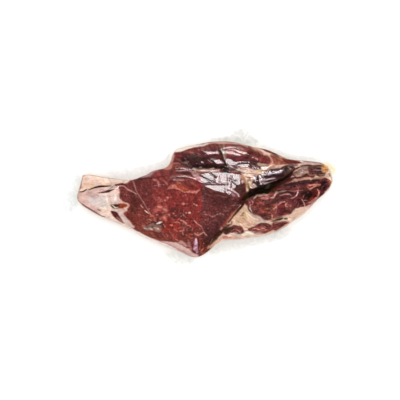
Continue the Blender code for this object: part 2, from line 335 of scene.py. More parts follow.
# taut facets of film, later ones over earlier ones: how they shine, then where they lie on the ham; a third
# number is a stroke's half width; the dull ones are creases that tip the film out of the shine
filmFacets = [
    # top muscle
    ("bright", [
        (2, 101), (8, 99.2), (14, 97), (20, 95.8), (26, 95.6), (31, 95.8), (35, 95.4), (38.5, 93.2), (32, 92.6),
        (26, 92), (20, 91.6), (14, 92.8), (8, 96)]),
    ("bright", [
        (22, 83), (28, 81.5), (36, 80.5), (42, 79), (45, 76.5), (49, 73), (46, 71.5), (38, 72), (32, 73), (29, 77),
        (25, 80)]),
    ("bright", [(23, 82, 0.8), (29, 79.5, 1.6), (36, 78, 1.4), (41, 77.5, 0.8)]),
    ("bright", [(43, 74, 0.8), (47.5, 72.5, 1)]),
    ("bright", [(2, 75, 0.8), (5, 73.8, 1.1), (8, 72.2, 0.6)]),
    ("dim", [(-8, 73, 1), (-3, 72, 0.8)]),
    # cross crease
    ("dim", [(44, 99), (49, 98), (54, 97), (54, 92), (47, 92), (44, 94)]),
    ("bright", [(47.5, 83, 0.8), (50.5, 78.5, 1.2), (53.5, 73.5, 2), (57.5, 67, 1.6), (59, 64.5, 0.8)]),
    ("bright", [
        (53, 80.5), (58, 82), (64, 81.5), (67.5, 78), (69.5, 75.3), (78, 74.6), (79.5, 72), (77, 70), (68, 69.5),
        (60, 70), (56, 74)]),
    # gully
    ("bright", [(80, 75, 0.8), (92, 75.2, 0.9), (102, 75, 1.1), (103, 73, 0.8)]),
    ("bright", [(77, 68.5), (84, 70.3), (92, 71), (101, 71), (101.5, 66), (96, 65), (90, 65.3), (84, 66.5)]),
    ("dim", [(86, 64), (100, 63), (103, 61), (92, 60.5), (86, 61)]),
    ("bright", [(109.5, 69, 0.7), (113, 66, 0.8), (116.5, 62, 0.7)]),
    ("bright", [(119, 66, 0.6), (123, 62, 0.7)]),
    ("dim", [(127, 65), (133, 65), (141, 64.5), (142, 62), (139, 60.3), (128, 60)]),
    # top right
    ("bright", [
        (50, 97), (56, 96.5), (64, 95.5), (72, 94), (80, 91.5), (86, 89.3), (84, 87.8), (76, 88.3), (68, 90), (60, 91),
        (51, 92)]),
    ("dim", [(60, 107), (76, 107), (90, 106), (92, 103), (80, 103.5), (66, 104.5)]),
    ("bright", [
        (60, 103.5), (66, 102.5), (72, 101), (80, 99.5), (88, 97.5), (96, 94.5), (98, 91.5), (92, 91.5), (87, 92.5),
        (80, 95.5), (72, 98.5), (66, 101)]),
    ("bright", [(54, 105, 0.9), (59, 104, 1)]),
    # slope
    ("dim", [(10, 51), (18, 51.5), (24, 47), (20, 46.5), (12, 49.5)]),
    ("bright", [
        (1, 47.6), (4, 49.5), (12, 50.3), (17, 50.5), (21, 47.5), (25, 45.5), (29.5, 43.5), (29.8, 36), (24, 36.2),
        (17, 39.2), (9, 43.6), (4, 46)]),
    ("bright", [(2, 41.5), (8, 38.3), (14, 36), (20, 33.8), (21, 30.8), (12, 31.5), (5, 34.5), (2, 37.5)]),
    ("dim", [(20, 33), (28, 31.5), (29, 33.5), (23, 34.5)]),
    ("bright", [
        (25.5, 52.5), (32, 53), (40, 53), (56, 52), (64, 50), (64, 43), (56, 43), (40, 43), (34, 44), (30, 48)]),
    ("bright", [(31, 43), (40.5, 43), (40.5, 31), (31.5, 31)]),
    ("bright", [(41.5, 43), (55.5, 43), (55.5, 31), (41.8, 31)]),
    ("bright", [(56, 41), (60, 40), (61.5, 34), (62.5, 26), (63.5, 21), (57, 21), (56, 30)]),
    ("bright", [
        (64, 49), (72, 49.6), (81, 49), (82.5, 44), (83, 36), (84.5, 29), (79, 28.5), (75.5, 31.5), (77, 35), (74, 39),
        (70, 40), (67, 43), (64, 45)]),
    ("dim", [(66, 38.5), (70, 39), (75, 37), (75.5, 33.5), (70, 34), (66, 35.5)]),
    ("bright", [(65, 31), (71, 31.5), (74, 28), (73.5, 22), (70, 18.5), (65, 21)]),
    ("bright", [(56, 15.5), (60, 16), (64, 13.5), (65, 10), (62, 7), (57, 8.5)]),
    ("bright", [
        (10, 25.5), (20, 26), (30, 26.3), (44, 26.5), (56, 26.5), (57, 20), (62, 18.5), (58, 14), (56, 10.5),
        (50, 10.7), (42, 13), (32, 15.5), (24, 18.5), (16, 22.5)]),
    ("bright", [(60, 20, 1), (68, 18, 1.4), (75, 14, 1.3), (79.5, 9, 1.1), (79, 3.5, 1.7)]),
    # ridge and roll
    ("bright", [(2.5, 56.5, 1.2), (7, 56, 1.2)]),
    ("bright", [(23, 57, 0.7), (30, 56.3, 0.9), (36, 55.8, 0.6)]),
    ("bright", [(87.5, 36, 1), (88.5, 31.5, 1.4)]),
    ("bright", [(130.5, 53, 1), (130.5, 49, 1.4), (133.5, 46.8, 1.5), (137, 49.5, 1.3), (136, 53, 0.8)]),
    ("dim", [(139, 53.5, 1.1), (141.5, 50.2, 1.4), (147, 51, 1), (153, 51.8, 1), (160, 52.7, 1.4), (167, 52.5, 1)]),
    ("bright", [(139, 52, 1), (142, 50.5, 1.3), (148, 51, 0.9), (156, 52, 0.8), (162, 53.5, 0.7)]),
    ("dim", [(165, 57, 1), (172, 56, 1.2)]),
    ("bright", [(128.5, 41, 1.3), (134, 40, 1.3), (141, 39, 1.7), (147, 39, 1.3)]),
    ("dim", [(149, 41, 1), (155, 41, 0.8)]),
    ("bright", [(136, 31.5, 1.3), (142, 31.5, 1.9), (147, 33, 1.6), (152, 35, 1.6), (158, 37, 1.3)]),
    ("bright", [(112, 44, 1), (115, 40.5, 1.5), (115, 36.5, 1.4)]),
    ("bright", [(124, 47.5, 1), (126, 44, 1.4), (128, 40, 1.4), (126, 36.5, 1.3)]),
    ("bright", [(126, 32.5, 1), (127, 29.5, 2.4)]),
    ("bright", [(110.5, 29, 1.4), (113, 27, 1.8), (116, 24, 1.8), (117.2, 21, 1)]),
    ("bright", [(103.5, 23, 1.1), (108, 20.2, 1.3)]),
    # rump, lowest tip and shank
    ("dim", [(200.5, 5, 1), (202.5, 9, 0.8), (204, 13, 0.6)]),
    ("dim", [(208, 51.5, 1), (213, 53.3, 1.4)]),
    ("bright", [(-9, -87, 1.6), (-9, -100, 2), (-7, -115, 1.6)]),
    ("bright", [(-89, -53, 1.3), (-82, -50.5, 1.2)]),
    ("bright", [(-178, 5, 1.8), (-178, -7, 1.8)]),
    # creases
    ("dull", [(40.5, 101, 1.6), (42, 95, 2), (43.5, 89, 2), (46, 84, 1.4)]),
    ("dull", [
        (-50, 85), (-50, 92), (-40, 97), (-28, 100), (-16, 102), (-2, 103), (1, 99), (-2, 92), (-20, 87), (-36, 82)]),
    ("dull", [(52, 99.6, 2.2), (60, 99.3, 2), (68, 97.6, 1.8), (76, 95, 1.6), (85, 91.5, 1.3)]),
    ("dull", [(78, -18, 2), (84, -13, 2), (88, -8, 1.5)]),
    ("dull", [(78, 70.6, 0.9), (84, 72, 1.2), (92, 72.8, 1.2), (101, 72.8, 1)]),
]
# thin pleats that stand up from the film: height, half width to the left and right, path
filmPleats = {
    "slope line": (0.8, 1.2, 1.4, [(-2, 47), (4, 43.5), (10, 40.5), (16, 37.7), (22, 35.2), (30, 32.5)]),
    "slope short line": (0.7, 1.3, 1.2, [(18, 54), (25, 48.3), (29, 45.5), (33, 42.5)]),
    "slope pane line": (0.45, 1.4, 1.4, [(41, 44), (41, 31)]),
    "slope pane line left": (0.5, 1.4, 1.4, [(30.3, 44), (30.6, 31)]),
    "slope pane line right": (0.42, 1.4, 1.4, [(56, 48), (55.8, 31)]),
    "slope band": (0.8, 1.3, 1.6, [(14, 30.6), (26, 29.3), (40, 28.8), (56, 28.8)]),
    "slope pane top": (0.15, 1.5, 1.5, [(30, 43), (41, 42.8), (56, 42)]),
    "slope star": (0.5, 1.3, 1.3, [(66, 45.5), (64, 41), (61.5, 37.5)]),
    "slope star two": (0.45, 1.3, 1.3, [(62, 37.3), (68, 37), (75.5, 37.5)]),
    "slope diagonal": (0.6, 1.2, 1.2, [(64, 36.5), (70, 32.5), (75.5, 28.2), (78, 26.5)]),
    "slope low pane line": (0.6, 1.4, 1.4, [(64, 31), (64, 21)]),
    "slope foot line": (0.5, 1.4, 1.4, [(51, 20), (51, 12)]),
    "slope edge line": (0.6, 1.1, 1.3, [(56, 17.2), (62, 16.3), (68, 14), (74, 10.5), (78, 6)]),
    "cross crease": (0.8, 1.3, 1.5, [(41, 79.3), (46, 77), (50, 72), (54, 66), (58, 61), (61, 57.5)]),
    "gully line low": (0.3, 1.0, 1.0, [(84, 65), (90, 64.4), (100, 64.2)]),
}


def shapeEdge(points, shape):
    # signed distance in mm to a loop (two columns) or a stroke (a third for its half width), negative inside
    shape = np.array(shape, float)
    if shape.shape[1] == 3:
        path = smoothPath(shape, steps=5)
        distance, side, place = nearestOnPath(points, path[:, :2])
        return distance - np.interp(place, np.arange(len(path)), path[:, 2])
    loop = smoothPath(shape, closed=True, steps=4)
    distance, side, place = nearestOnPath(points, np.vstack([loop, loop[:1]]))
    return np.where(insideLoop(points, loop), -distance, distance)


def blurRaster(values, size):
    # Gaussian blur through the Fourier transform
    kx = 2 * np.pi * np.fft.fftfreq(values.shape[0])
    ky = 2 * np.pi * np.fft.fftfreq(values.shape[1])
    weight = np.exp(-0.5 * size**2 * (kx[:, None] ** 2 + ky[None, :] ** 2))
    return np.fft.ifft2(np.fft.fft2(values) * weight).real


def sampleRaster(values, points):
    gx = np.clip(points[:, 0] - rasterX[0], 0, len(rasterX) - 1.001)
    gy = np.clip(points[:, 1] - rasterY[0], 0, len(rasterY) - 1.001)
    ix, iy = gx.astype(int), gy.astype(int)
    fx, fy = gx - ix, gy - iy
    low = values[ix, iy] * (1 - fx) + values[ix + 1, iy] * fx
    high = values[ix, iy + 1] * (1 - fx) + values[ix + 1, iy + 1] * fx
    return low * (1 - fy) + high * fy


def blurredLean():
    # lean face averaged into cells and spread into the empty ones; outside the ham it is the widest line's level
    total = np.zeros((len(rasterX), len(rasterY)))
    count = np.zeros_like(total)
    cell = (np.rint(hamPlan[:, 0] - rasterX[0]).astype(int), np.rint(hamPlan[:, 1] - rasterY[0]).astype(int))
    np.add.at(total, cell, leanLevel)
    np.add.at(count, cell, 1)
    rim = np.vstack([smoothPath(ham["lowerEdge"]), smoothPath(ham["rumpEnd"]),
                     smoothPath(ham["upperEdge"])[::-1], smoothPath(ham["shankEnd"])[::-1]])
    inside = insideLoop(rasterPoints, rim).reshape(total.shape)
    total[~inside] = ham["equator"]
    count[~inside] = 1
    return blurRaster(total, film["leanBlur"]) / np.maximum(blurRaster(count, film["leanBlur"]), 1e-6)


def facetSlopes():
    # how much of each cell is facet, and the slope it wants there
    size = film["facetWobbleSize"]
    wobble = film["facetWobble"] * np.stack([hills(*rasterPoints.T, size, seed) for seed in (60, 61)], axis=-1)
    share = np.zeros(len(rasterPoints))
    tilt = np.full(len(rasterPoints), film["bright"])
    for kind, shape in filmFacets:
        near = nearBox(rasterPoints, np.array(shape, float), film["facetMargin"])
        edge = shapeEdge((rasterPoints + wobble)[near], shape)
        cover = 1 - smoothRamp(edge, -film["facetSoft"], film["facetSoft"])
        share[near] = np.maximum(share[near], cover)
        tilt[near] += cover * (film[kind] - tilt[near])
    size = (len(rasterX), len(rasterY))
    return share.reshape(size), tilt.reshape(size)


def filmRaster():
    lean = blurredLean()
    level = blurRaster(lean, film["ease"])
    x, y = rasterPoints.T
    facets, tilt = facetSlopes()
    # small tilts of the film's own
    crinkleX = film["crinkle"] * hills(x + 0.3 * y, 0.4 * y, film["crinkleSize"], 62).reshape(level.shape)
    crinkleY = film["crinkle"] * hills(0.4 * x, y, film["crinkleSize"], 63).reshape(level.shape)
    kx = 2 * np.pi * np.fft.fftfreq(level.shape[0])[:, None]
    ky = 2 * np.pi * np.fft.fftfreq(level.shape[1])[None, :]
    # the slopes wanted less the slopes there are, turned back into height, a few times over
    for _ in range(film["rounds"]):
        slopeX, slopeY = np.gradient(level)
        facing = -slopeY
        upright = smoothRamp(film["dullAside"] - np.abs(slopeX), 0, film["dullAsideSoft"])
        stray = upright * (facing > film["dullBelow"]) * (facing < film["dullAbove"])
        away = np.where(facing < film["bright"], film["dullBelow"], film["dullAbove"])
        wantX = facets * (crinkleX - slopeX)
        wantY = facets * (crinkleY - tilt - slopeY) + (1 - facets) * stray * (-away - slopeY)
        push = -1j * (kx * np.fft.fft2(wantX) + ky * np.fft.fft2(wantY))
        level += np.fft.ifft2(push / (kx**2 + ky**2 + film["reach"] ** -2)).real
        level = np.clip(level, lean - film["yield"], lean + film["tent"])
        level = blurRaster(level, film["roundBlur"])
    return level


def filmOver(u, v, plan, lean):
    # the film's level, and the meat's that clings under it; near the rim they follow the lean face itself
    inner = smoothRamp(alongProfile(2 * u - 1) * acrossProfile(2 * v - 1), film["innerFrom"], film["innerTo"])
    over = (lean + film["gap"]) * (1 - inner) + sampleRaster(filmLevel, plan) * inner
    under = np.maximum(over - film["gap"], ham["equator"])
    return under + film["gap"], under


filmLevel = filmRaster()
leanUnderFilm = filmOver(gridU, gridV, hamPlan, leanLevel)[1]
print("film level worked out:", filmLevel.size, "cells")

meatSettings = {
    "sideBand": 7.0,  # the lean stops about this far above the widest line, where the outer fat starts
    "sideBandWander": 4.0,
    "sideBandSize": 12.0,
    "sideBandSoft": 1.5,
    "mottle": 0.13,
    "mottleSize": 6.0,
    "fleck": 0.42,
    "fleckSize": 2.6,
    "speck": 0.42,  # tiny pale specks in the lean
    "speckSize": 2.1,
    "speckPatch": 9.0,
    "speckColour": "c98d84",
    "underLevel": 0.6,  # of the fat face that it rests on, with slight hills
    "underHills": 0.15,
    "underSize": 13.0,
    "weld": 0.02,
    "keptShare": 0.62,  # of all faces, once those below are thinned
    "leanColour": "6e302d",  # under all the layers
    "wander": 1.9,  # of the painted edges
    "wanderSize": 14.0,
    "paintMargin": 6.0,  # searched round a painted shape
    "veinEdge": (0.92, 1.4, 1.0),  # strength, softness, wobble
    "grainStrength": 0.9,
    "grainWobble": 0.8,
    "grainWide": 0.8,
    "grainMargin": 8.0,
    "fatColour": "e3c6a6",
    "fatWander": 1.6,
    "fatWanderSize": 26.0,
    "pink": 0.35,  # how strongly the outer fat is tinted in patches, and crossed by thin brown lines
    "pinkSize": 30.0,
    "pinkTint": "d8a692",
    "thread": 0.35,
    "threadSize": 18.0,
    "threadColour": "c08a6c",
    "exposure": 0.85,  # painted colours are as photographed, under a light that brings white to 1 / exposure
}

# what is painted on the ham, in this order: colour, strength, softness and wobble of its edge in mm, then a loop
# of plan points, or a stroke whose third number is its half width
hamPaint = [
    # the two big muscles
    ("7a2d2a", 0.9, 16, 8, [(-98, 42), (-64, 64), (-58, 30), (0, 34), (4, -35), (-12, -60), (-60, -48), (-96, -12)]),
    ("61302f", 0.9, 14, 6, [(3, 24), (60, 10), (90, -3), (62, -34), (47, -52), (32, -72), (12, -76), (2, -32)]),
    ("47221f", 0.6, 14, 6, [(6, 20), (60, 6), (86, -4), (60, -14), (20, -8), (6, 0)]),
    ("882f2d", 0.75, 4, 1, [(-1, 18, 3.5), (-0.5, 4, 4), (0.5, -12, 4), (0, -24, 3.5)]),
    ("573030", 0.75, 4, 1, [(8.5, 18, 3.5), (8.5, 4, 4), (8.5, -12, 4), (8.5, -24, 3)]),
    ("7a352d", 0.85, 18, 9, [
        (-164, -10), (-146, -22), (-120, -18), (-100, -36), (-60, -52), (-10, -62), (8, -82), (-30, -95), (-80, -86),
        (-122, -70), (-154, -42)]),
    ("8a4434", 0.8, 7, 4, [(-150, -46, 3), (-128, -64, 4), (-104, -78, 4), (-76, -86, 4), (-40, -91, 4)]),
    ("4c2019", 0.65, 12, 5, [(-138, 8, 5), (-132, -8, 6), (-136, -26, 5)]),
    ("4c2623", 0.45, 12, 6, [(-66, -20), (-50, -16), (-34, -28), (-34, -44), (-52, -46), (-66, -34)]),
    ("4e2525", 0.7, 12, 5, [(16, -58), (44, -50), (40, -66), (24, -88), (12, -90), (8, -74)]),
    ("9c3029", 0.75, 12, 6, [(-78, -50), (-54, -46), (-40, -58), (-44, -74), (-62, -72), (-76, -62)]),
    ("7e3a38", 0.8, 8, 4, [(-104, 53), (-88, 58), (-68, 60), (-62, 46), (-80, 42), (-100, 44)]),
    ("8e2a2a", 0.8, 5, 2, [(-5, 28), (1, 29), (4, 24), (2, 19), (-4, 22)]),
    # top muscle
    ("66302d", 1.0, 4, 2, [
        (-58, 71), (-56, 88), (-53, 94), (-40, 96), (-22, 102), (0, 107), (20, 111), (60, 113), (90, 109), (112, 100),
        (136, 88), (150, 75), (142, 70), (122, 70), (105, 78), (60, 84), (55, 60), (10, 61), (-20, 65), (-45, 69)]),
    ("432022", 0.95, 7, 3, [
        (-44, 82), (-30, 91), (0, 88), (30, 92), (45, 88), (52, 72), (60, 56), (50, 55), (30, 62), (0, 63), (-25, 66),
        (-38, 72)]),
    ("542623", 0.8, 6, 3, [(0, 99), (38, 92), (44, 80), (20, 84), (0, 88), (-20, 94)]),
    ("65282a", 0.9, 5, 2, [(-55, 74, 3), (-52, 84, 4), (-44, 91, 3)]),
    ("84423a", 0.9, 5, 2, [
        (14, 108, 4), (30, 110, 4), (60, 110, 3.5), (85, 106, 4), (105, 98, 6), (122, 88, 6), (138, 78, 4)]),
    ("6e2c29", 0.9, 6, 2, [(98, 95, 4), (112, 92, 5), (126, 84, 6), (140, 76, 4)]),
    ("4c2625", 0.9, 6, 2, [(56, 84, 5), (80, 81, 5), (98, 78, 4), (110, 70, 6), (118, 64, 3)]),
    ("6a2a26", 0.8, 4, 2, [(-30, 98, 3), (-12, 99, 4), (2, 96, 2)]),
    ("7c4a48", 0.8, 5, 2, [(0, 108), (14, 107), (32, 106), (34, 99), (20, 97), (8, 101), (0, 104)]),
    ("803c30", 0.85, 4, 2, [(16, 111, 2), (26, 110, 3), (35, 107, 2)]),
    ("5a2a2f", 0.7, 4, 2, [(-4, 91, 1.5), (8, 89, 2), (22, 88, 2), (34, 87, 1.5)]),
    # painted highlight: pink under the film's crescent and middle shines, with a darker streak in the second
    ("c79ba4", 0.8, 2.2, 0.8, [
        (4, 100), (10, 98), (16, 97), (22, 97), (28, 96.6), (33, 95.6), (38, 93), (30, 91.8), (22, 91.3), (16, 93),
        (9, 97)]),
    ("c3a6ac", 0.75, 2.2, 0.8, [(23, 83), (30, 82), (38, 80.5), (44, 77), (50, 72.6), (44, 71), (36, 72.5), (30, 76)]),
    ("7a5a60", 0.8, 1.4, 0.6, [(30, 76.6, 0.6), (37, 76, 0.9), (44, 74, 0.7)]),
    ("3c2822", 0.8, 6, 3, [(-22, 84, 4), (-8, 82, 5), (4, 84, 3)]),
    ("5c2324", 0.85, 3, 1, [(38, 103, 2), (40, 94, 2.2), (41, 86, 2)]),
    ("6e2e32", 0.95, 3, 1, [
        (55, 90), (70, 89), (84, 87), (100, 84), (108, 78), (92, 76), (78, 76), (66, 82), (56, 83)]),
    ("703236", 0.9, 3, 1, [(53, 101, 2), (62, 99, 2), (74, 95.5, 1.5), (84, 92, 1)]),
    # painted sheen: pink haze where the film's dim shine lies along the top edge
    ("d8a6a4", 0.85, 4, 2, [(60, 106, 1.5), (74, 106, 1.8), (90, 104, 1.8)]),
    ("b9786f", 0.8, 1.6, 0.8, [(104, 88.5, 0.7), (112, 86, 1), (118, 82, 0.9), (121, 79, 0.7)]),
    # painted sheen: greyish tan streaks of the film's shine on the top muscle's left part
    ("947e70", 0.7, 2, 1.5, [(-37, 73, 1.2), (-31, 74, 1.8), (-24, 76, 1.2)]),
    ("6f5d55", 0.7, 2, 1, [(-33, 83, 1), (-30, 80, 1.5), (-28, 77, 1)]),
    ("7d5a50", 0.6, 3, 1.5, [(-45, 80, 1.5), (-41, 76, 2), (-38, 73, 1.5)]),
    ("955a4f", 0.7, 3, 1.5, [(-33, 97, 1), (-22, 96, 2), (-14, 93, 1.5)]),
    ("94615a", 0.7, 2, 1, [(-10, 95, 1), (-3, 92.5, 1.3)]),
    ("5a2419", 0.8, 4, 2, [(-28, 101, 2), (-20, 102, 2.4), (-12, 101, 2)]),
    # painted sheen: thin pink streak where the film shines dimly
    ("a88486", 0.75, 1.5, 0.8, [(17, 79, 0.7), (21, 76, 1.1), (25, 73, 0.7)]),
    # painted shade: black in the crease under the top muscle
    ("1e0e09", 0.95, 4, 2, [
        (-20, 68, 2), (5, 66, 3), (20, 65, 3.5), (38, 64, 3.5), (50, 60, 4.5), (58, 55, 4), (64, 52, 1)]),
    # painted sheen: pink under the film's shining bands at the top right
    ("a86a64", 0.75, 6, 3, [(52, 92), (56, 105), (72, 106), (92, 100), (98, 92), (84, 87), (66, 89)]),
    # fold across the top muscle: the dark strokes are painted shade in it, the pale ones painted highlights of its
    # film; the olive patch is the meat's
    ("3a1f1b", 0.45, 2, 1, [(38, 112, 1.2), (43, 99, 1.6), (47, 86, 1.6), (53, 72, 1.6), (58, 60, 1)]),
    ("c9a294", 0.6, 2, 1, [(50, 113, 2), (50, 100, 1.6), (54, 84, 1.4), (55, 74, 1.6), (60, 62, 1.2)]),
    ("7b6050", 0.85, 3, 1, [(42, 110, 2.6), (45, 104, 4), (47, 96, 3.2), (49, 88, 3), (51, 82, 2)]),
    ("c6afa4", 0.85, 1.4, 0.6, [(45.5, 100, 0.8), (48, 94, 1.3), (49.6, 88, 0.9)]),
    ("d2bcb0", 0.85, 1.4, 0.6, [(50.5, 86, 0.8), (53, 80, 1.3), (55.5, 74, 1)]),
    ("2a1612", 0.85, 1.6, 0.6, [(41, 100, 0.9), (43.5, 94, 1.2), (46, 86, 1.2), (48.5, 79, 0.9)]),
    ("1f1210", 0.9, 1.6, 0.6, [(50, 76, 0.8), (54, 69, 1.6), (58, 62, 2.2), (61, 57, 1.4)]),
    # ridge above the slope
    ("bc9a8c", 0.9, 3, 2, [(-14, 61, 2), (-2, 59, 3), (12, 57, 3.5), (28, 57, 3), (40, 56, 2)]),
    ("946053", 0.7, 4, 2, [(-8, 55, 2), (14, 52, 2.5), (40, 53, 2)]),
    ("dcc4b8", 0.85, 2, 1, [(-14, 60.5, 1.3), (-9, 58.5, 2)]),
    ("c09a8a", 0.85, 2, 1, [(-1, 64, 1.3), (3, 64.5, 1.4)]),
    ("cfae9f", 0.85, 2, 1, [(22, 60.5, 1.2), (28, 61.2, 1.7)]),
    # slope under taut film, painted with the film's mauve sheen, with painted shade along its pleats and a painted
    # highlight along its edge
    # painted sheen: mauve of the film's shine over the slope
    ("7a5658", 0.9, 5, 2, [
        (0, 50), (20, 52), (60, 52), (84, 46), (86, 30), (74, 26), (80, 4), (62, 8), (30, 18), (10, 24), (0, 34)]),
    # painted shade along the film's pleats
    ("3a2428", 0.95, 1.6, 1, [(-2, 48, 1.2), (8, 43, 1.8), (17, 38, 1.6), (30, 33, 1)]),
    ("45292b", 0.9, 1.6, 1, [(22, 51, 1), (28, 46, 1.8), (34, 42, 1)]),
    ("5b3b3c", 0.8, 3, 1, [(8, 29, 2), (22, 30, 2.2), (40, 29, 1.6), (56, 30, 1)]),
    ("4d353f", 0.85, 2, 1, [(63, 43, 1.6), (67, 37, 2), (72, 33, 1.5), (77, 28, 1.6)]),
    ("54404a", 0.8, 2, 0.5, [(74, 39, 1.6), (75, 36, 1.6)]),
    ("4a2b28", 0.9, 5, 2, [(74, 28), (88, 29), (92, 20), (90, 6), (82, 4), (76, 14)]),
    # painted shade, then a painted highlight, along the slope's edge pleat
    ("5a3536", 0.8, 2, 1, [(56, 17, 0.8), (66, 15, 1.2), (76, 9, 1.2)]),
    ("e4bdba", 0.95, 1.6, 0.8, [(58, 18.5, 0.8), (66, 17.3, 1.5), (73, 13.5, 1.5), (78, 9, 1.2), (81, 3.5, 1.6)]),
    # painted sheen beside the shine at the slope's foot
    ("a88088", 0.9, 3, 1, [(64, 13, 1.5), (68, 9, 2), (71, 5.5, 1.5)]),
    # pink strands at its foot: painted sheen and glints of the film, with dark meat between
    ("46241f", 0.9, 2.5, 1.5, [(-52, 54, 1.5), (-40, 53, 2.4), (-28, 53, 2.2), (-20, 50, 2), (-14, 46, 1)]),
    # painted sheen: pink shine of the film
    ("c4a0a8", 0.85, 2, 1, [(-38, 57.5, 0.8), (-30, 58.7, 1.2), (-22, 57.3, 2), (-15, 54.5, 1.6)]),
    ("b8958e", 0.75, 4, 2, [(-16, 54), (-6, 55), (0, 50), (-2, 46), (-10, 45), (-16, 48)]),
    ("6c2d2a", 0.8, 3, 2, [(-32, 40, 2), (-24, 38.5, 2.5), (-16, 36, 2)]),
    # painted sheen: grey of the film's shine
    ("8a655f", 0.75, 4, 3, [(-50, 38, 3), (-42, 38.5, 3.5), (-34, 37, 2.5)]),
    ("7a5752", 0.8, 4, 3, [(-61, 40, 3), (-56, 43, 3), (-50, 41, 2)]),
    ("46191d", 0.8, 3, 2, [(-62, 34, 2), (-54, 33, 1.8), (-46, 33, 1)]),
    # painted sheen: pink shine of the film left of the slope
    ("c08a8c", 0.85, 3, 2, [(-8, 44, 2), (-4, 42, 4), (1, 40, 4.5), (4, 37, 2)]),
    ("d19a9d", 0.65, 4, 2, [(-14, 48), (-4, 48.5), (2, 46), (5, 40), (3, 34.5), (-4, 37), (-12, 42)]),
    ("c88e8a", 0.85, 2.2, 1.2, [(-38, 48, 0.8), (-29, 46.5, 1.6), (-22, 44.4, 2), (-16, 42, 2), (-11, 40, 2)]),
    # painted glints
    ("dcb0b8", 0.85, 1.6, 1, [(-55, 37.5, 0.9), (-53, 37, 1.5)]),
    ("b48480", 0.8, 2, 1, [(-67, 38, 1), (-65, 36, 1)]),
    ("b89a96", 0.7, 1.5, 1, [(-49, 57, 1.2), (-45, 57, 1), (-38, 58, 1.5), (-30, 59, 1)]),
    # orange seam between the two big muscles
    ("94402f", 0.95, 4, 2, [
        (-60, 26), (-52, 28.5), (-40, 28), (-33, 25), (-27, 20), (-23, 17), (-28, 12.5), (-34, 12), (-40, 16),
        (-48, 20), (-58, 21)]),
    ("bb6c5e", 0.9, 3, 1.5, [(-67, 18), (-65, 25), (-61, 28), (-53, 27), (-47, 24), (-50, 20.5), (-60, 20.5)]),
    ("b3543b", 0.8, 3, 1.5, [(-42, 21, 1.5), (-36, 18, 2.4), (-30, 16.5, 2.4)]),
    ("702c20", 0.8, 3, 1.5, [(-34, 13.8, 1), (-29, 14, 1.2), (-26, 16, 0.8)]),
    ("6f2a24", 0.7, 6, 3, [(-28, 25, 3), (-16, 23, 3), (-6, 20, 2.5)]),
    ("934538", 0.7, 5, 2, [(-20, 34, 2), (-14, 31, 2.5), (-8, 27, 1.5)]),
    ("ca786c", 0.9, 2, 1, [
        (-60, 20.3, 1), (-50, 19.8, 1.4), (-44, 18, 1.8), (-38, 14, 1.8), (-32, 11.6, 1.2), (-26, 12.4, 1.6),
        (-20, 13, 2.4), (-12, 13.2, 3), (-7, 12.5, 2.8), (-1, 16.5, 1.2)]),
    ("bb6a5b", 0.85, 2, 1, [(-8, 11, 1.4), (-7, 7, 0.7)]),
    ("b06c5e", 0.7, 2, 1, [(-51, 31.2, 0.7), (-44, 31, 1), (-37, 30, 0.7)]),
    ("a85248", 0.8, 1.8, 1, [(-23, 34, 0.7), (-14, 29.5, 0.9), (-7, 25.5, 0.7)]),
    # upper left rim and the web of film in the corner
    ("b78d90", 0.9, 4, 2, [(-124, 43, 1.5), (-112, 48, 3.5), (-98, 53, 2.5), (-86, 58, 1)]),
    ("43211e", 0.9, 2, 1, [(-140, 37, 1.4), (-124, 40, 1.6), (-108, 42, 1.6), (-98, 41, 1)]),
    ("5e1d18", 0.8, 2, 1, [(-97, 43, 0.8), (-82, 44, 1.3), (-70, 47, 1)]),
    ("dbaa9f", 0.95, 5, 2, [
        (-86, 63), (-74, 67), (-66, 78), (-61, 95), (-53, 104), (-55, 92), (-58, 73), (-60, 62), (-70, 60)]),
    ("cf8571", 0.85, 5, 2, [(-78, 62, 2), (-66, 66, 4), (-60, 72, 3)]),
    ("8c4840", 0.8, 4, 2, [(-58, 66, 2), (-50, 66, 3), (-40, 65, 2.5), (-30, 65, 1.5)]),
    ("c07664", 0.8, 2.5, 1.2, [(-60, 71, 1.2), (-50, 73, 1.8), (-41, 70, 1.4)]),
    ("4f2a26", 0.8, 3, 2, [(-62, 56, 1), (-63, 44, 1.4), (-67, 34, 1.2), (-70, 22, 1)]),
    ("bd7f77", 0.7, 2.5, 2, [(-96, 41, 1.5), (-88, 34, 2.5), (-84, 26, 2.2), (-81, 22, 1)]),
    ("b4665a", 0.7, 2.5, 2, [(-82, 38, 1.2), (-74, 35, 2.2), (-68, 30, 2)]),
    # pale fat along the top left rim, painted lighter as well to stand in for light on its steep side
    ("f8e6da", 1.0, 3, 1, [(-52, 99, 3), (-42, 100, 4), (-28, 105, 3.5), (-10, 109, 3), (4, 111, 2.5), (16, 114, 2)]),
    ("e8b9aa", 0.9, 3, 1, [(16, 115, 1.5), (40, 116, 2), (60, 116, 2), (84, 113, 2), (100, 108, 2)]),
    # specks and blotches of the middle
    ("be6a5f", 0.5, 6, 5, [(-94, -14), (-80, -13), (-71, -19), (-68, -29), (-79, -30), (-90, -27)]),
    ("ac625e", 0.5, 6, 4, [(-92, -2), (-84, -2), (-78, -8), (-86, -11)]),
    ("c06a5a", 0.7, 4, 3, [(-74, -38, 3), (-72, -44, 3), (-80, -42, 1.5)]),
    ("e09683", 0.8, 3, 1, [(-86, -18, 2), (-81, -19, 1.5)]),
    ("de9684", 0.8, 3, 1, [(-75, -24, 2.2), (-71, -25, 2)]),
    ("94776c", 0.7, 6, 6, [(-119, -58), (-106, -54), (-94, -57), (-84, -58), (-83, -67), (-95, -71), (-110, -67)]),
    ("3b1d1a", 0.85, 4, 3, [(-104, -53, 1.6), (-95, -54, 2.4), (-84, -56, 2.2), (-77, -60, 2)]),
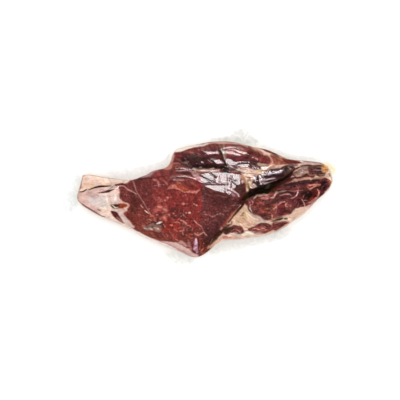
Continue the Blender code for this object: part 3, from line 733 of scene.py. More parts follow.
    ("4a2620", 0.7, 3, 3, [(-100, -64, 1.5), (-90, -63, 1.2)]),
    ("dcc3b4", 0.8, 3, 3, [(-114, -63, 1.5), (-104, -66, 2), (-98, -68, 1)]),
    ("dccbb6", 0.8, 3, 2, [(-94, -63, 1.2), (-88, -64, 1.8)]),
    # painted glint on the grey patch
    ("fbece4", 0.9, 1.6, 0.5, [(-90, -54, 1.2), (-85, -52, 2), (-80, -50, 1)]),
    # rim of pale fat and film along the lower left
    ("e2b9b2", 0.9, 4, 2, [
        (-160, -52), (-128, -71), (-100, -84), (-74, -91), (-58, -92), (-48, -95), (-38, -100), (-28, -105),
        (-16, -112), (-4, -118), (-14, -128), (-60, -110), (-110, -90), (-160, -62)]),
    ("d8a69d", 0.85, 3, 2, [(-46, -93), (-42, -87), (-36, -90), (-30, -94), (-24, -100), (-30, -101), (-38, -97)]),
    ("c08179", 0.75, 4, 3, [(-24, -92, 2), (-20, -98, 3.5), (-18, -106, 3)]),
    ("a5706b", 0.7, 2, 1, [(-52, -93.5, 0.8), (-44, -97, 1.2), (-34, -101.5, 1), (-28, -103.5, 0.7)]),
    ("e4bfb5", 0.85, 5, 3, [(-70, -93, 2), (-50, -98, 4), (-34, -105, 4), (-20, -113, 4), (-8, -120, 3)]),
    ("b87f78", 0.7, 2, 1, [(-66, -98, 0.8), (-48, -107, 1), (-30, -114, 1)]),
    # pale fat along the lower left rim, painted lighter as well to stand in for light on its steep side
    ("fdeee6", 0.9, 3, 1, [(-160, -57, 3), (-128, -75, 3), (-100, -88, 2.5), (-72, -99, 2), (-50, -108, 1.5)]),
    # painted highlight: the film's lilac shine down a fold near the lowest tip, with dark specks
    ("ad8296", 0.9, 2, 1, [
        (-12.5, -92), (-10, -85), (-6.5, -86), (-5, -95), (-4.5, -104), (-4, -113), (-7, -113), (-11, -109.5),
        (-13, -106), (-12, -99)]),
    ("f0c4d6", 0.9, 1.6, 0.8, [(-8.5, -87, 1.3), (-8, -93, 2.2), (-9, -97, 1.2)]),
    ("e4aaba", 0.9, 1.6, 0.8, [(-12, -106.5, 1.6), (-8, -103, 1.3)]),
    ("dda2a2", 0.85, 1.6, 0.8, [(-7, -113.5, 1.4), (-4.5, -114, 0.8)]),
    ("5a3542", 0.85, 1.2, 0.5, [(-10.5, -100, 0.9), (-9, -100, 1)]),
    # painted shade beside that fold
    ("4a1c14", 0.9, 1.6, 0.8, [(-5, -80, 1.2), (-3.4, -95, 1.2), (-3, -110, 1)]),
    # lowest tip
    ("5e2219", 0.85, 5, 3, [(0, -84), (12, -86), (20, -96), (16, -114), (4, -119), (-1, -104)]),
    ("8c3e27", 0.85, 2, 1, [(0, -87, 1.4), (1, -93, 1.8), (0, -100, 1.2)]),
    ("a86a50", 0.85, 1.6, 0.8, [(-1, -102, 0.8), (-1, -107, 1.2)]),
    ("903a28", 0.85, 3, 1.5, [(10, -112, 2), (13, -107, 3), (16, -102, 2)]),
    ("cb6c56", 0.9, 1.8, 0.8, [(3, -110, 1.4), (6, -106.5, 1.8), (8, -105, 1)]),
    ("b86b56", 0.8, 2, 1, [(1, -112, 1.2), (4, -115, 1.4)]),
    ("48231a", 0.85, 4, 2, [(12, -88, 3), (15, -94, 3), (13, -100, 2.4)]),
    ("6a120a", 0.85, 1.6, 0.8, [(9, -106, 1.2), (10, -104, 0.8)]),
    ("a34e46", 0.85, 1.6, 0.8, [(4.5, -99, 0.8), (5.5, -101, 1)]),
    ("a85a52", 0.85, 2.5, 1, [(5, -117, 1.2), (8, -116, 1.8)]),
    # painted glint
    ("d6a0a0", 0.85, 1.4, 0.6, [(7.3, -94.5, 1), (7.8, -96, 0.8)]),
    ("e2ab90", 0.85, 2.5, 1, [(17, -106, 1.5), (20, -100, 2.2), (26, -95, 2)]),
    # shank end
    ("d9bdb0", 1.0, 4, 2, [
        (-262, 52), (-140, 42), (-160, 32), (-172, 26), (-166, 0), (-150, -24), (-158, -34), (-150, -46), (-140, -62),
        (-210, -46), (-262, -14)]),
    ("e8c6b4", 0.95, 3, 1, [
        (-249, 48), (-240, 50), (-200, 46), (-160, 40), (-146, 40), (-160, 31), (-175, 29), (-200, 27), (-215, 25),
        (-230, 19), (-238, 16), (-250, 15), (-254, 22)]),
    ("dcb396", 0.6, 8, 4, [(-246, 24), (-238, 34), (-222, 32), (-222, 26), (-236, 18)]),
    ("e0b79e", 0.6, 6, 3, [(-205, 31, 3), (-185, 30, 3), (-168, 33, 2)]),
    # pale skin with a painted highlight along the shank's upper edge
    ("f0d9ca", 0.8, 6, 3, [(-238, 45, 3), (-210, 42, 4), (-180, 38, 4), (-150, 37, 3)]),
    ("83625c", 0.8, 2.5, 1, [(-246, 46, 0.8), (-250, 34, 1), (-251, 22, 1.2), (-256, 16, 0.8)]),
    ("d0a99f", 0.85, 8, 4, [(-259, 10), (-245, 13), (-232, 8), (-232, -4), (-246, -10), (-259, -4)]),
    ("c8a49c", 0.85, 6, 3, [
        (-238, 14), (-226, 18), (-212, 21), (-195, 21), (-184, 20), (-198, 12), (-216, 9), (-232, 6)]),
    ("d2c1bb", 0.95, 5, 2, [
        (-238, 0), (-225, 5), (-210, 9), (-199, 8), (-198, -5), (-193, -15), (-200, -22), (-216, -20), (-230, -11)]),
    ("b9938f", 0.7, 6, 3, [(-232, 4, 2), (-222, 4, 3), (-214, 8, 2)]),
    ("d8b0a8", 0.85, 5, 3, [(-242, -8), (-226, -12), (-214, -22), (-204, -38), (-222, -32), (-246, -18)]),
    ("8a5e55", 0.8, 3, 2, [(-214, -24, 2), (-211, -26, 1.6)]),
    ("e6cabb", 0.9, 4, 2, [
        (-208, -22), (-196, -18), (-188, -15), (-183, -24), (-187, -31), (-178, -42), (-162, -52), (-150, -60),
        (-170, -56), (-200, -42), (-212, -34)]),
    ("ecdfb8", 0.75, 4, 2, [(-207, -19, 1.6), (-199, -20, 2.4)]),
    ("dcc0b5", 1.0, 3, 1, [
        (-199, 9), (-190, 12), (-181, 18), (-176, 21), (-171, 8), (-166, -8), (-176, -12), (-190, -14), (-195, -8)]),
    ("f0e0d6", 0.9, 2.5, 1, [(-198, 6, 1.6), (-196, -4, 2), (-193, -13, 1.2)]),
    ("e8d2c8", 0.9, 3, 1, [(-186, 10, 2), (-182, 2, 2.2), (-181, -8, 1.5)]),
    # painted highlight on the tendon
    ("f6e8e0", 0.9, 3, 1, [(-177, 6, 2), (-177, -4, 2.6), (-174, -8, 1.5)]),
    ("dfa899", 0.8, 2, 1, [(-176, 20, 0.8), (-170, 6, 1), (-166, -7, 1)]),
    ("cfa593", 0.6, 3, 1, [(-191, 8, 1), (-189, -4, 1.4), (-186, -12, 1.2)]),
    # painted shade in the slits of the skin flap
    ("3c1f1a", 0.95, 1.4, 0.6, [(-253, 13, 0.7), (-246, 13.5, 1.3), (-240, 16, 1.4), (-237, 18, 0.7)]),
    ("35120e", 1.0, 1.6, 0.6, [
        (-233, 17, 0.6), (-222, 21.5, 1.6), (-209, 24.5, 2.3), (-198, 25, 1.5), (-186, 25, 0.6)]),
    ("46201d", 0.95, 1.6, 0.6, [
        (-212, 11, 0.7), (-201, 12.5, 1.6), (-192, 14.5, 2.6), (-184, 17, 1.2), (-179, 19, 0.6)]),
    ("8e8078", 0.8, 2, 1, [(-190, 19, 0.9), (-183, 23, 1.4), (-178, 27, 1)]),
    ("4a2523", 0.95, 1.8, 0.5, [(-176, 27, 2), (-169, 28.4, 2.1), (-162, 30, 1.8)]),
    # painted shade in the bone canal
    ("3c2a18", 0.95, 2, 0.8, [(-186, -16, 2.2), (-180, -18.5, 4), (-173, -18, 4)]),
    ("dfae9e", 0.95, 2.5, 1, [(-171, -9), (-158, -8), (-148, -13), (-148, -19), (-158, -25), (-170, -24)]),
    ("97452d", 1.0, 2.5, 0.5, [(-171, -13), (-160, -11.5), (-152, -15), (-156, -20), (-170, -21)]),
    # painted shade in the canal, then a painted highlight in it
    ("562717", 0.9, 3, 0.5, [(-178, -16, 3), (-171, -16, 2.5)]),
    ("f2dfcc", 0.95, 1.2, 0.3, [(-185, -14.5, 0.8), (-181, -17.5, 1), (-177.5, -20.5, 1.1), (-173, -19.5, 0.7)]),
    # painted shade in the gap below the canal
    ("51221f", 1.0, 2.5, 1, [
        (-187, -29), (-178, -29), (-170, -32), (-168, -40), (-160, -52), (-172, -47), (-182, -38)]),
    ("a27872", 0.7, 5, 2, [(-173, -43, 2), (-165, -49, 2.5), (-160, -53, 1)]),
    ("cbb1a8", 0.95, 3, 1.5, [
        (-171, -28), (-162, -26), (-158, -36), (-150, -46), (-148, -57), (-158, -51), (-166, -42), (-170, -34)]),
    # painted shadow along the groove under the shank
    ("5a3835", 0.9, 2, 0.6, [
        (-255, -9, 0.8), (-241, -17, 1.4), (-226, -26.5, 1.5), (-212, -35, 1.2), (-200, -40, 0.7)]),
    ("eed9cf", 0.9, 3, 1, [(-246, -18, 1.5), (-226, -30, 1.5), (-205, -41, 2), (-180, -51, 2.5), (-160, -58, 2.5)]),
    # creases of the film on the left muscle, drawn as pale painted highlights
    ("c0867f", 0.85, 1.5, 0.6, [
        (-143, 38, 1), (-138, 28, 1.3), (-132, 13, 1), (-124, 1, 0.7), (-116, -12, 0.8), (-108, -26, 0.6)]),
    ("cf978d", 0.9, 1.8, 0.6, [(-178, 23, 1.6), (-161, 25.5, 1.1), (-150, 18, 1.3), (-140, 13, 1.2), (-132, 8, 0.7)]),
    ("d3a096", 0.85, 1.2, 0.5, [(-124, -14, 0.5), (-121.5, -17.5, 1), (-118.5, -21, 0.6)]),
    ("f2c6b2", 0.92, 1.2, 0.5, [(-115.5, -25, 0.6), (-111.5, -28.8, 1.2), (-106, -32.5, 0.7)]),
    ("bd8074", 0.85, 1.3, 0.6, [(-108, -26, 0.6), (-101, -36, 0.8), (-92, -45, 0.5)]),
    # fat and thin muscles at the top right
    ("e9c2ad", 1.0, 5, 2, [
        (64, 66), (80, 66), (88, 50), (93, 36), (97, 14), (94, -6), (84, -20), (70, -34), (56, -50), (42, -72),
        (26, -90), (30, -108), (70, -98), (120, -92), (180, -70), (225, -45), (285, 30), (290, 60), (262, 88),
        (180, 96), (120, 122), (108, 110), (128, 96), (150, 78), (144, 70), (112, 72)]),
    ("c9967e", 0.8, 5, 2, [
        (106, 111, 3), (120, 103, 5), (138, 92, 5), (150, 84, 5), (157, 76, 5), (150, 67, 4), (136, 62, 3)]),
    ("ecc9b8", 0.8, 4, 2, [(108, 112, 2), (122, 105, 3), (136, 95, 3), (148, 86, 2)]),
    ("5a2520", 0.95, 2, 1, [(128, 104, 1), (140, 100, 2.4), (152, 95, 2.6), (162, 91, 1)]),
    ("854839", 0.95, 4, 2, [(147, 90), (158, 91), (176, 85), (192, 80), (190, 72), (170, 70), (156, 72), (150, 80)]),
    ("bb8069", 0.6, 3, 2, [(152, 88, 1.2), (164, 84, 1.6), (176, 78, 1.2)]),
    ("6c1f1a", 0.95, 3, 1, [(174, 82), (190, 81), (212, 77), (214, 73), (200, 71), (180, 73)]),
    ("b9705c", 0.6, 2, 1, [(178, 81, 0.8), (188, 75, 1)]),
    ("ead0b0", 0.9, 2.5, 1, [(119.5, 73, 0.6), (125, 71.5, 1.3), (131, 69, 1)]),
    ("b08f76", 0.7, 2.5, 1, [(131, 70, 0.6), (138, 69, 0.8), (144, 68.5, 0.6)]),
    ("4a2520", 0.85, 1.6, 0.6, [(128, 66.5, 0.6), (136, 66.7, 0.9), (143, 67, 0.6)]),
    ("6a4446", 0.9, 4, 2, [(54, 82), (64, 82), (70, 76), (102, 76), (103, 66), (80, 66), (60, 68)]),
    # gully between the slope and the roll
    ("b09890", 0.85, 3, 1.5, [(58, 70), (66, 69), (76, 66), (86, 61), (86, 56), (78, 53), (66, 60), (58, 64)]),
    ("80626a", 0.85, 2.5, 1.5, [(66, 68.5, 1), (72, 68, 1.8), (78, 66, 1)]),
    # painted glints and shade of the film's wrinkles in the gully
    ("eee0de", 0.9, 1.4, 0.6, [(63, 67, 0.7), (68, 64.6, 1), (73, 62.6, 0.7)]),
    ("33211f", 0.9, 1.4, 0.6, [(66, 66.8, 0.8), (71, 66, 0.9), (76, 63.6, 0.7)]),
    ("f2e2dc", 0.9, 1.4, 0.6, [(70, 60.2, 0.8), (76, 58.6, 1), (81, 57.4, 0.7)]),
    ("3a2724", 0.9, 1.4, 0.6, [(60, 60.4, 0.7), (66, 58.4, 0.9), (72, 56.8, 0.8)]),
    ("4c3336", 0.9, 1.6, 0.8, [(62, 68.5, 0.6), (70, 64.6, 0.9), (79, 60.6, 0.7)]),
    ("944a4c", 0.85, 3, 1.5, [(58, 54, 1.4), (66, 54.5, 2.2), (74, 53.5, 1.4)]),
    ("4a2a2b", 0.95, 4, 1.5, [
        (101, 76), (112, 78), (124, 75), (120, 72), (122, 68), (128, 66), (128, 61), (112, 60), (104, 62), (101, 68)]),
    ("d4b1a2", 0.9, 4, 2, [(84, 59, 4), (98, 57, 4.5), (112, 55, 4.5), (120, 53, 2)]),
    ("bfa294", 0.8, 4, 2, [(86, 62, 1.5), (96, 60, 2), (106, 60, 1.5)]),
    # painted glint
    ("ffdccd", 0.8, 3, 1, [(100, 55, 1.6), (104, 53.5, 1.2)]),
    # painted highlights where the film shines
    ("dcb4ac", 0.85, 1.6, 0.6, [(109.5, 69, 0.7), (113, 66, 0.8), (116.5, 62, 0.7)]),
    ("b98a88", 0.8, 1.6, 0.6, [(118, 67, 0.6), (123, 62, 0.8)]),
    ("9c6a68", 0.7, 1.6, 0.6, [(104, 73, 0.5), (108, 68, 0.7), (110, 63, 0.5)]),
    # painted highlight on the fat
    ("f6dcd2", 0.95, 2.5, 0.8, [(128, 65), (134, 65.5), (141, 64.5), (142, 62), (138, 60.3), (128, 60.2)]),
    ("2c1c1a", 0.95, 1.6, 0.8, [(59, 65, 0.9), (66, 62, 1.1), (74, 58, 1.1), (84, 54, 0.9), (92, 51, 0.6)]),
    ("4c3034", 0.85, 1.6, 0.6, [(77, 65.8, 0.7), (82, 64.5, 1), (85.5, 61, 0.8)]),
    ("5a4036", 0.8, 1.8, 0.8, [(92, 52, 0.8), (102, 51.3, 0.8), (112, 51, 0.5)]),
    ("3f2a28", 0.9, 1.6, 0.6, [(78, 70.5, 0.6), (84, 72, 0.9), (92, 72.7, 1), (101, 72.7, 0.7)]),
    ("b0985c", 0.8, 2.5, 1, [(117, 53, 1.2), (123, 56.5, 1.8), (131, 58, 1.4)]),
    ("6f5a34", 0.85, 2.5, 1, [(131, 57, 1), (137, 57.5, 1.5), (143, 58.5, 1)]),
    ("4a2413", 0.9, 2.5, 1, [(138, 56.5, 0.8), (147, 59, 1.8), (156, 60, 1.5), (164, 62, 0.8)]),
    ("8f4c42", 0.85, 2, 1, [(96, 44, 0.6), (104, 43, 1), (110, 42, 0.8)]),
    ("4d3026", 0.85, 1.6, 0.8, [(94, 44.5, 0.8), (99, 42.5, 1), (104, 41, 0.7)]),
    ("7d646c", 0.8, 3, 1, [(104, 37, 1.5), (110, 37, 2)]),
    # fat at the right of the slope
    ("c08c6c", 0.95, 3, 1, [(86, 46, 2), (91, 38, 3), (95, 30, 2.2), (97, 23, 1.5)]),
    ("6b2e1d", 0.9, 3, 1, [(91, 31, 1.4), (92.5, 26, 2.4), (93.5, 20, 2)]),
    ("4c1d1c", 0.85, 4, 2, [(92, 17, 3), (93, 12, 3)]),
    ("a98f72", 0.85, 3, 1.5, [(98, 38), (106, 38), (110, 30), (110, 20), (102, 19), (98, 26)]),
    ("d0b8a4", 0.7, 3, 2, [(101, 34, 1.8), (103, 28, 1.5)]),
    ("5c4a30", 0.7, 3, 2, [(99, 30, 1.5), (102, 22, 2), (106, 18, 2)]),
    # roll of fat, with the film's sheen and highlights painted on it in mauve and white
    ("4e2f2d", 1.0, 4, 2, [
        (108, 30), (116, 43), (128, 53), (150, 58), (172, 66), (190, 68), (200, 62), (192, 50), (178, 41), (160, 32),
        (140, 26), (118, 22)]),
    ("5d3a38", 0.8, 4, 2, [(140, 56, 1.5), (154, 57.5, 2), (168, 60, 2)]),
    ("291718", 0.9, 3, 1, [(131, 45, 1.4), (141, 45.5, 1.8), (150, 47.5, 2.4), (160, 46, 2.5), (172, 49, 3)]),
    ("2b1a1c", 0.9, 2.5, 1, [(130, 36.7, 1), (141, 36.5, 1.5), (148, 36.5, 1)]),
    # painted sheen and highlights of the film
    ("8c717a", 0.8, 2.5, 1, [(129, 41, 1.2), (138, 40.5, 1.3), (147, 41, 1.4), (156, 41, 1)]),
    ("b098a0", 0.9, 3, 1, [(139, 52, 1.6), (150, 51.5, 1.6), (160, 52.5, 2), (168, 55, 1.8)]),
    ("9c8a9a", 0.85, 3, 1, [(142, 48.5, 1.6), (152, 51, 2.2), (163, 55, 2.2), (174, 59, 1.4)]),
    ("cfc0c8", 0.85, 1.4, 0.6, [(124, 38, 0.8), (134, 37.4, 1.2), (142, 39.3, 1), (155, 40.7, 0.7)]),
    ("e2d2d6", 0.9, 1.4, 0.6, [(127, 28.6, 0.8), (134, 29.4, 1.2), (142, 31, 1.4), (151, 34, 1.2), (159, 37.4, 0.8)]),
    ("dccfd4", 0.9, 1.4, 0.6, [(113, 46.6, 0.8), (114, 42.5, 1.4), (114.6, 38.5, 0.9)]),
    ("e4d6da", 0.9, 1.4, 0.6, [(124.3, 45, 0.8), (125.5, 40, 1.3), (125, 35, 1.2), (125.8, 30, 0.8)]),
    ("20100f", 0.9, 1.6, 0.8, [(119, 46, 1), (120, 41, 1.6), (120, 36, 1.4)]),
    ("8d7379", 0.8, 3, 1, [(124, 33, 1.5), (136, 32, 1.5), (147, 33, 1.6), (157, 37, 1.2)]),
    ("54482f", 0.8, 4, 2, [(183, 60, 3), (188, 54, 3)]),
    ("cdb9ae", 0.7, 2.5, 1, [(184, 64, 1), (190, 61, 1.5)]),
    ("b98a84", 0.8, 3, 1, [(111, 47, 2), (117, 47.5, 2.4), (119, 44, 1.4)]),
    ("2c1a19", 0.95, 2, 1, [(120.5, 44, 1.6), (121, 38, 2.4), (121, 31, 2.2), (123, 25, 2.5)]),
    ("2c1f18", 0.85, 1.2, 0.4, [(114, 46, 0.8), (115, 44.5, 0.8)]),
    # painted highlights
    ("efdfd8", 0.85, 2, 0.8, [(110.5, 29, 1.3), (113, 27, 1.7), (116, 24, 1.7), (117.2, 21, 0.9)]),
    ("e8d2c4", 0.85, 2, 0.8, [(103.5, 23, 1), (108, 20.2, 1.2)]),
    # black crease under it: its dark is painted shade, with brown and olive tones in it
    ("1a0f0a", 1.0, 5, 2, [
        (90, -5, 2), (97, 2, 4.5), (105, 8, 7), (114, 11.5, 8), (124, 15, 8), (134, 17.5, 8), (146, 23, 8.5),
        (156, 29, 7.5), (166, 34, 6), (176, 40, 4.5), (186, 47, 3.5), (194, 53, 2.5)]),
    ("3c1d19", 0.95, 4, 2, [(150, 12, 2), (158, 18, 3.5), (168, 26, 4.5), (180, 33, 4.5), (192, 40, 4), (200, 44, 2)]),
    ("6e3d36", 0.8, 2, 1.5, [(168, 24, 0.8), (178, 30, 1), (188, 38, 1), (196, 46, 0.8)]),
    ("5a2a26", 0.95, 4, 2, [(180, 35), (192, 40), (206, 42), (226, 45), (226, 49), (206, 44), (198, 52), (188, 48)]),
    ("38200f", 0.85, 4, 2, [(91, 0, 2.5), (96, 5, 4), (99, 9, 3)]),
    ("2c0b08", 0.8, 4, 2, [(104, 16, 2.5), (110, 13, 3)]),
    ("15170f", 0.7, 4, 2, [(128, 14, 3), (138, 13, 3)]),
    ("4d483a", 0.8, 4, 2, [(137, 22, 1.5), (143, 25, 3), (147, 28, 2)]),
    ("2c2422", 0.7, 4, 2, [(118, 26, 2), (126, 25, 3), (134, 26, 2)]),
    ("2c0806", 0.8, 4, 2, [(154, 30, 2), (160, 32, 2.5), (166, 33, 2)]),
    ("42200f", 0.85, 4, 2, [(140, 12, 2), (148, 12, 4), (152, 16, 4), (160, 24, 3)]),
    # knob at the right end
    ("78544b", 0.95, 4, 2, [
        (196, 50), (204, 58), (222, 62), (240, 66), (258, 67), (268, 60), (266, 50), (250, 45), (225, 47), (206, 43)]),
    ("9b7a70", 0.95, 5, 2, [(199, 46), (204, 55), (213, 63), (225, 66), (229, 58), (224, 49), (214, 45), (207, 42)]),
    ("aa8b7a", 0.85, 4, 1.5, [(204, 47, 2.5), (208, 53, 3), (213, 58, 2)]),
    ("57332f", 0.95, 5, 2, [(227, 65), (236, 67), (246, 66), (256, 64), (256, 56), (250, 50), (240, 49), (229, 50)]),
    ("43211f", 0.8, 4, 1.5, [(233, 60, 2), (234, 55, 2.6), (237, 51, 1.6)]),
    ("4c1f19", 0.9, 1.8, 0.8, [(223, 68, 0.8), (232, 68.3, 1.1), (243, 68.2, 0.9)]),
    ("7e5c49", 0.85, 4, 1.5, [(252, 49), (262, 51), (263, 46), (258, 43), (250, 45)]),
    ("9e7a6c", 0.85, 1.6, 0.7, [(243, 64.5, 0.5), (250, 64.6, 0.9), (256, 64, 0.7)]),
    ("331b1d", 0.9, 1.6, 0.7, [(244, 61.8, 0.6), (250, 62, 1), (255.5, 62, 0.8)]),
    ("8f7474", 0.85, 2, 0.7, [(238, 58.4, 0.6), (246, 59, 1.2), (254, 58.2, 0.9)]),
    ("33191b", 0.9, 1.8, 0.7, [(238, 55.4, 0.7), (248, 55.6, 1), (256, 55.4, 0.8)]),
    ("694d49", 0.7, 2, 0.7, [(240, 53.2, 0.8), (250, 53.3, 1), (258, 53.5, 0.7)]),
    ("361a12", 0.9, 1.8, 0.7, [(245, 51.6, 0.9), (254, 51.4, 1), (262, 51.5, 0.6)]),
    ("33201c", 0.85, 3, 1, [(246, 49, 1.6), (249, 47, 1.4)]),
    ("ad7860", 0.85, 3, 1.5, [(220, 42.5, 1.6), (228, 44.5, 2.4), (236, 46, 1.8)]),
    ("6c3822", 0.8, 2.5, 1, [(233, 43, 1), (239, 43.2, 1.2)]),
    # painted highlight on the knob
    ("eccac0", 0.85, 3, 1, [(209, 51.5, 1), (213, 53.3, 1.6)]),
    ("59290f", 0.95, 3, 1.2, [(214, 47, 0.9), (219, 47.5, 2), (222.5, 49.5, 1.6)]),
    # its amber end
    ("b5824f", 0.95, 5, 1.5, [(253, 70), (260, 72), (267, 70), (271, 63), (267, 55), (260, 54), (254, 57), (254, 64)]),
    ("ac8769", 0.85, 3, 1, [(254, 61, 1), (257, 58, 2.2), (258, 55, 1)]),
    ("73492b", 0.85, 3, 1, [(247, 68.4, 1), (254, 67.6, 1.4), (259, 65, 1.2)]),
    ("9c5f2c", 0.9, 3, 1, [(263, 63, 1.2), (265.5, 59.5, 2), (268, 57, 1.4)]),
    ("ecd0a6", 0.9, 3, 1, [(262, 69.5, 1), (266.5, 67.5, 1.6), (269, 63.5, 1)]),
    ("d2b0a2", 0.95, 3.5, 1, [(265, 52), (268, 56), (271, 50), (271, 43), (265, 42)]),
    ("eadfd0", 0.9, 3, 1, [(271, 64, 1.6), (274.5, 57, 1.8), (277, 48, 1.6)]),
    ("5c4834", 0.9, 1.8, 0.6, [(270.7, 51.8, 0.7), (272, 49, 1), (274, 46.5, 0.8)]),
    # upper right rim
    ("cbaaa1", 0.9, 2.5, 1, [(204, 80, 1.5), (222, 74.5, 2.6), (244, 72, 2), (256, 70, 1)]),
    ("dcb8aa", 0.9, 1.8, 0.6, [(211, 69, 0.7), (220, 71, 1), (236, 71.2, 1), (251, 70.8, 0.8)]),
    # painted shade along the rim's turned edge, darker at its right end
    ("97827a", 0.85, 2, 0.6, [(219, 77.5, 0.8), (236, 75.6, 1.2), (248, 74.2, 1)]),
    ("6b5446", 0.85, 2, 0.6, [(249, 73.4, 0.8), (255, 72.7, 1)]),
    # painted glint on the rim
    ("fdeeea", 0.9, 2, 0.5, [(211, 77.5, 1.2), (214.5, 75.6, 1.7)]),
    ("78462f", 0.85, 2, 1, [(201, 61, 0.9), (206, 64.3, 1.1), (214, 65.8, 1.1), (222, 67.6, 0.9)]),
    ("55231f", 0.9, 2.5, 1, [(194, 55, 1), (199, 60, 1.8), (203, 62.5, 1.2)]),
    ("4c2a25", 0.85, 3, 1.5, [(203, 61, 1), (212, 65.4, 1.4), (224, 67.6, 1.5), (240, 68, 1.3), (252, 67.4, 1)]),
    ("80595a", 0.85, 3, 1.5, [(184, 69, 1.5), (194, 68.5, 2.4), (204, 67.5, 1.6)]),
    ("481d1b", 0.95, 3, 1, [(178, 37, 1.5), (188, 43, 2.5), (204, 42, 2), (220, 44.5, 1.8), (240, 46, 1.2)]),
    ("e8beb4", 0.9, 2, 1, [(190, 43, 0.8), (193.5, 45, 1.6), (196.5, 44, 0.8)]),
    # rump muscle
    ("5e2a2a", 1.0, 4, 2, [
        (166, 22), (186, 31), (215, 36), (245, 40), (262, 41), (276, 34), (272, 20), (256, 4), (240, -8), (222, -19),
        (202, -21), (191, -32), (162, -37), (151, -44), (140, -46), (128, -42), (112, -31), (103, -26), (99, -18),
        (94, -14), (92, -7), (98, -1), (110, 2), (124, 6), (140, 8), (150, 12), (158, 17)]),
    ("7c413a", 0.75, 10, 4, [(106, -14), (140, -6), (190, -8), (188, -30), (150, -46), (112, -32)]),
    ("a06858", 0.85, 2.2, 1.2, [
        (172, 26, 0.3), (184, 32, 0.6), (196, 36, 1.1), (206, 38, 1.5), (220, 40.5, 1.3), (234, 42, 0.8)]),
    ("6a5240", 0.6, 3, 1, [(234, 42, 1.6), (246, 41.5, 2.2), (256, 41, 1.8)]),
    ("32191a", 0.85, 5, 2, [(176, 26, 2), (192, 27, 4), (212, 31, 4.5), (236, 34, 3)]),
    ("2b2627", 0.7, 4, 2, [(217, 32, 2), (224, 33, 2.4)]),
    ("2a1c0d", 0.9, 3, 1.5, [(236, 38.5, 1.4), (242, 38, 2), (249, 35.5, 1.4)]),
    ("4a2724", 0.75, 4, 2, [(164, 18, 2), (186, 19.5, 2.4), (206, 20, 2)]),
    ("421816", 0.7, 10, 4, [(212, 2), (224, 20), (262, 28), (270, 20), (250, -2), (226, -8)]),
    ("34171a", 0.85, 6, 3, [(246, 24), (254, 34), (266, 34), (270, 28), (262, 14), (250, 14)]),
    ("5e3c40", 0.7, 2.5, 1, [(258, 22, 1), (261, 24, 1.2)]),
    ("6a4142", 0.75, 2.5, 1, [(265, 37, 1), (268, 34.5, 1.2)]),
    ("45161a", 0.85, 4, 2, [(254, 5, 1.5), (263, 15, 2.5), (271, 25, 2)]),
    ("6b1b2a", 0.8, 3, 1.5, [(253, 12, 1.2), (257, 10.5, 1.8), (260, 15, 1.4)]),
    ("2c1510", 0.9, 5, 2.5, [(214, 14), (226, 19), (237, 17), (238, 9), (232, 0), (222, -2), (216, 6)]),
    ("4e1610", 0.9, 5, 2, [(236, 13, 2), (242, 7, 3.6), (236, 2, 3), (230, -1, 1.5)]),
    ("470d07", 0.8, 3, 1.5, [(239, 13, 1.4), (243, 10, 2)]),
    ("8d4a40", 0.9, 3.5, 1.5, [(224, 21), (229, 28), (240, 30), (252, 29), (250, 25), (240, 21), (232, 18)]),
    ("c08b7d", 0.85, 1.6, 0.8, [(225, 19, 0.8), (232, 20.3, 1), (238, 23.4, 1.1), (243, 26, 1)]),
    ("b5806f", 0.85, 1.8, 0.8, [(228, 26.6, 0.7), (235, 28, 1), (243, 29, 1.3), (251, 26.8, 1.2)]),
    ("59130d", 0.8, 1.8, 0.8, [(230, 23.6, 0.8), (236, 25.2, 0.9)]),
    ("2d1b09", 0.9, 3, 1.2, [(247, 22, 1.6), (250.5, 20, 2.4)]),
    ("87502c", 0.9, 3, 1, [(269, 38, 1.2), (274, 34, 2.2), (272, 29, 1.6)]),
    ("572228", 0.8, 3, 1.5, [(260, 40, 1.5), (266, 39, 1.8)]),
    # veins and marks in it
    ("c09080", 0.9, 3, 2, [(119, 4, 1), (128, 5, 1.6), (137, 5.5, 1.6), (143, 4.5, 1.2)]),
    ("b8766c", 0.85, 3, 1.5, [(124, -2, 1.4), (130, -1, 2.6), (139, -0.5, 3), (145, 0.5, 1.6)]),
    ("cfab97", 0.9, 2.2, 1.2, [(147, 1, 1), (152, 2, 1.8), (156, 7, 1.8), (158, 11.4, 1.8)]),
    ("ab8e84", 0.95, 2.2, 1.2, [(158, 11.5, 1.8), (164, 12.6, 1.9), (171, 14, 1.9), (180, 14.4, 1.2)]),
    ("a3675f", 0.9, 1.8, 0.8, [(180, 14.4, 1), (190, 14, 1.1), (202, 15, 1), (216, 16.5, 0.7)]),
    ("49201b", 0.9, 1.8, 0.8, [(164, 9.6, 0.8), (174, 11.4, 1.1), (194, 11.6, 0.9)]),
    ("b27a75", 0.9, 2.2, 1.2, [(167, 5.5, 0.8), (174, 7.3, 1.5), (183, 8, 1.8), (189, 5.6, 1)]),
    ("b07d76", 0.85, 1.6, 0.8, [(189, -1, 0.7), (194, 1, 1), (199, 4, 0.8)]),
    ("3a1018", 0.85, 4, 1.5, [(192, 9, 2), (198, 8, 2.4)]),
    # painted glint, then its faint upper part
    ("e8c9c4", 0.9, 1.2, 0.5, [(200.3, 5, 0.9), (202.6, 9, 0.9), (204.2, 13, 0.7)]),
    ("9a7473", 0.6, 1.4, 0.5, [(204.4, 14, 0.7), (205, 20, 0.6), (200.5, 27, 0.5)]),
    ("7c392f", 0.85, 6, 3, [(122, -20), (150, -18), (156, -28), (150, -36), (126, -30)]),
    ("602623", 0.75, 5, 2.5, [(108, -12, 3), (122, -15, 3), (150, -17, 2)]),
    ("984b3d", 0.85, 3, 1.5, [(126, -27, 1), (136, -28, 1.8), (147, -29, 2.4)]),
    ("b87264", 0.85, 2.2, 1.2, [(138, -21.5, 0.8), (144, -23.5, 1.8), (149, -24.5, 1)]),
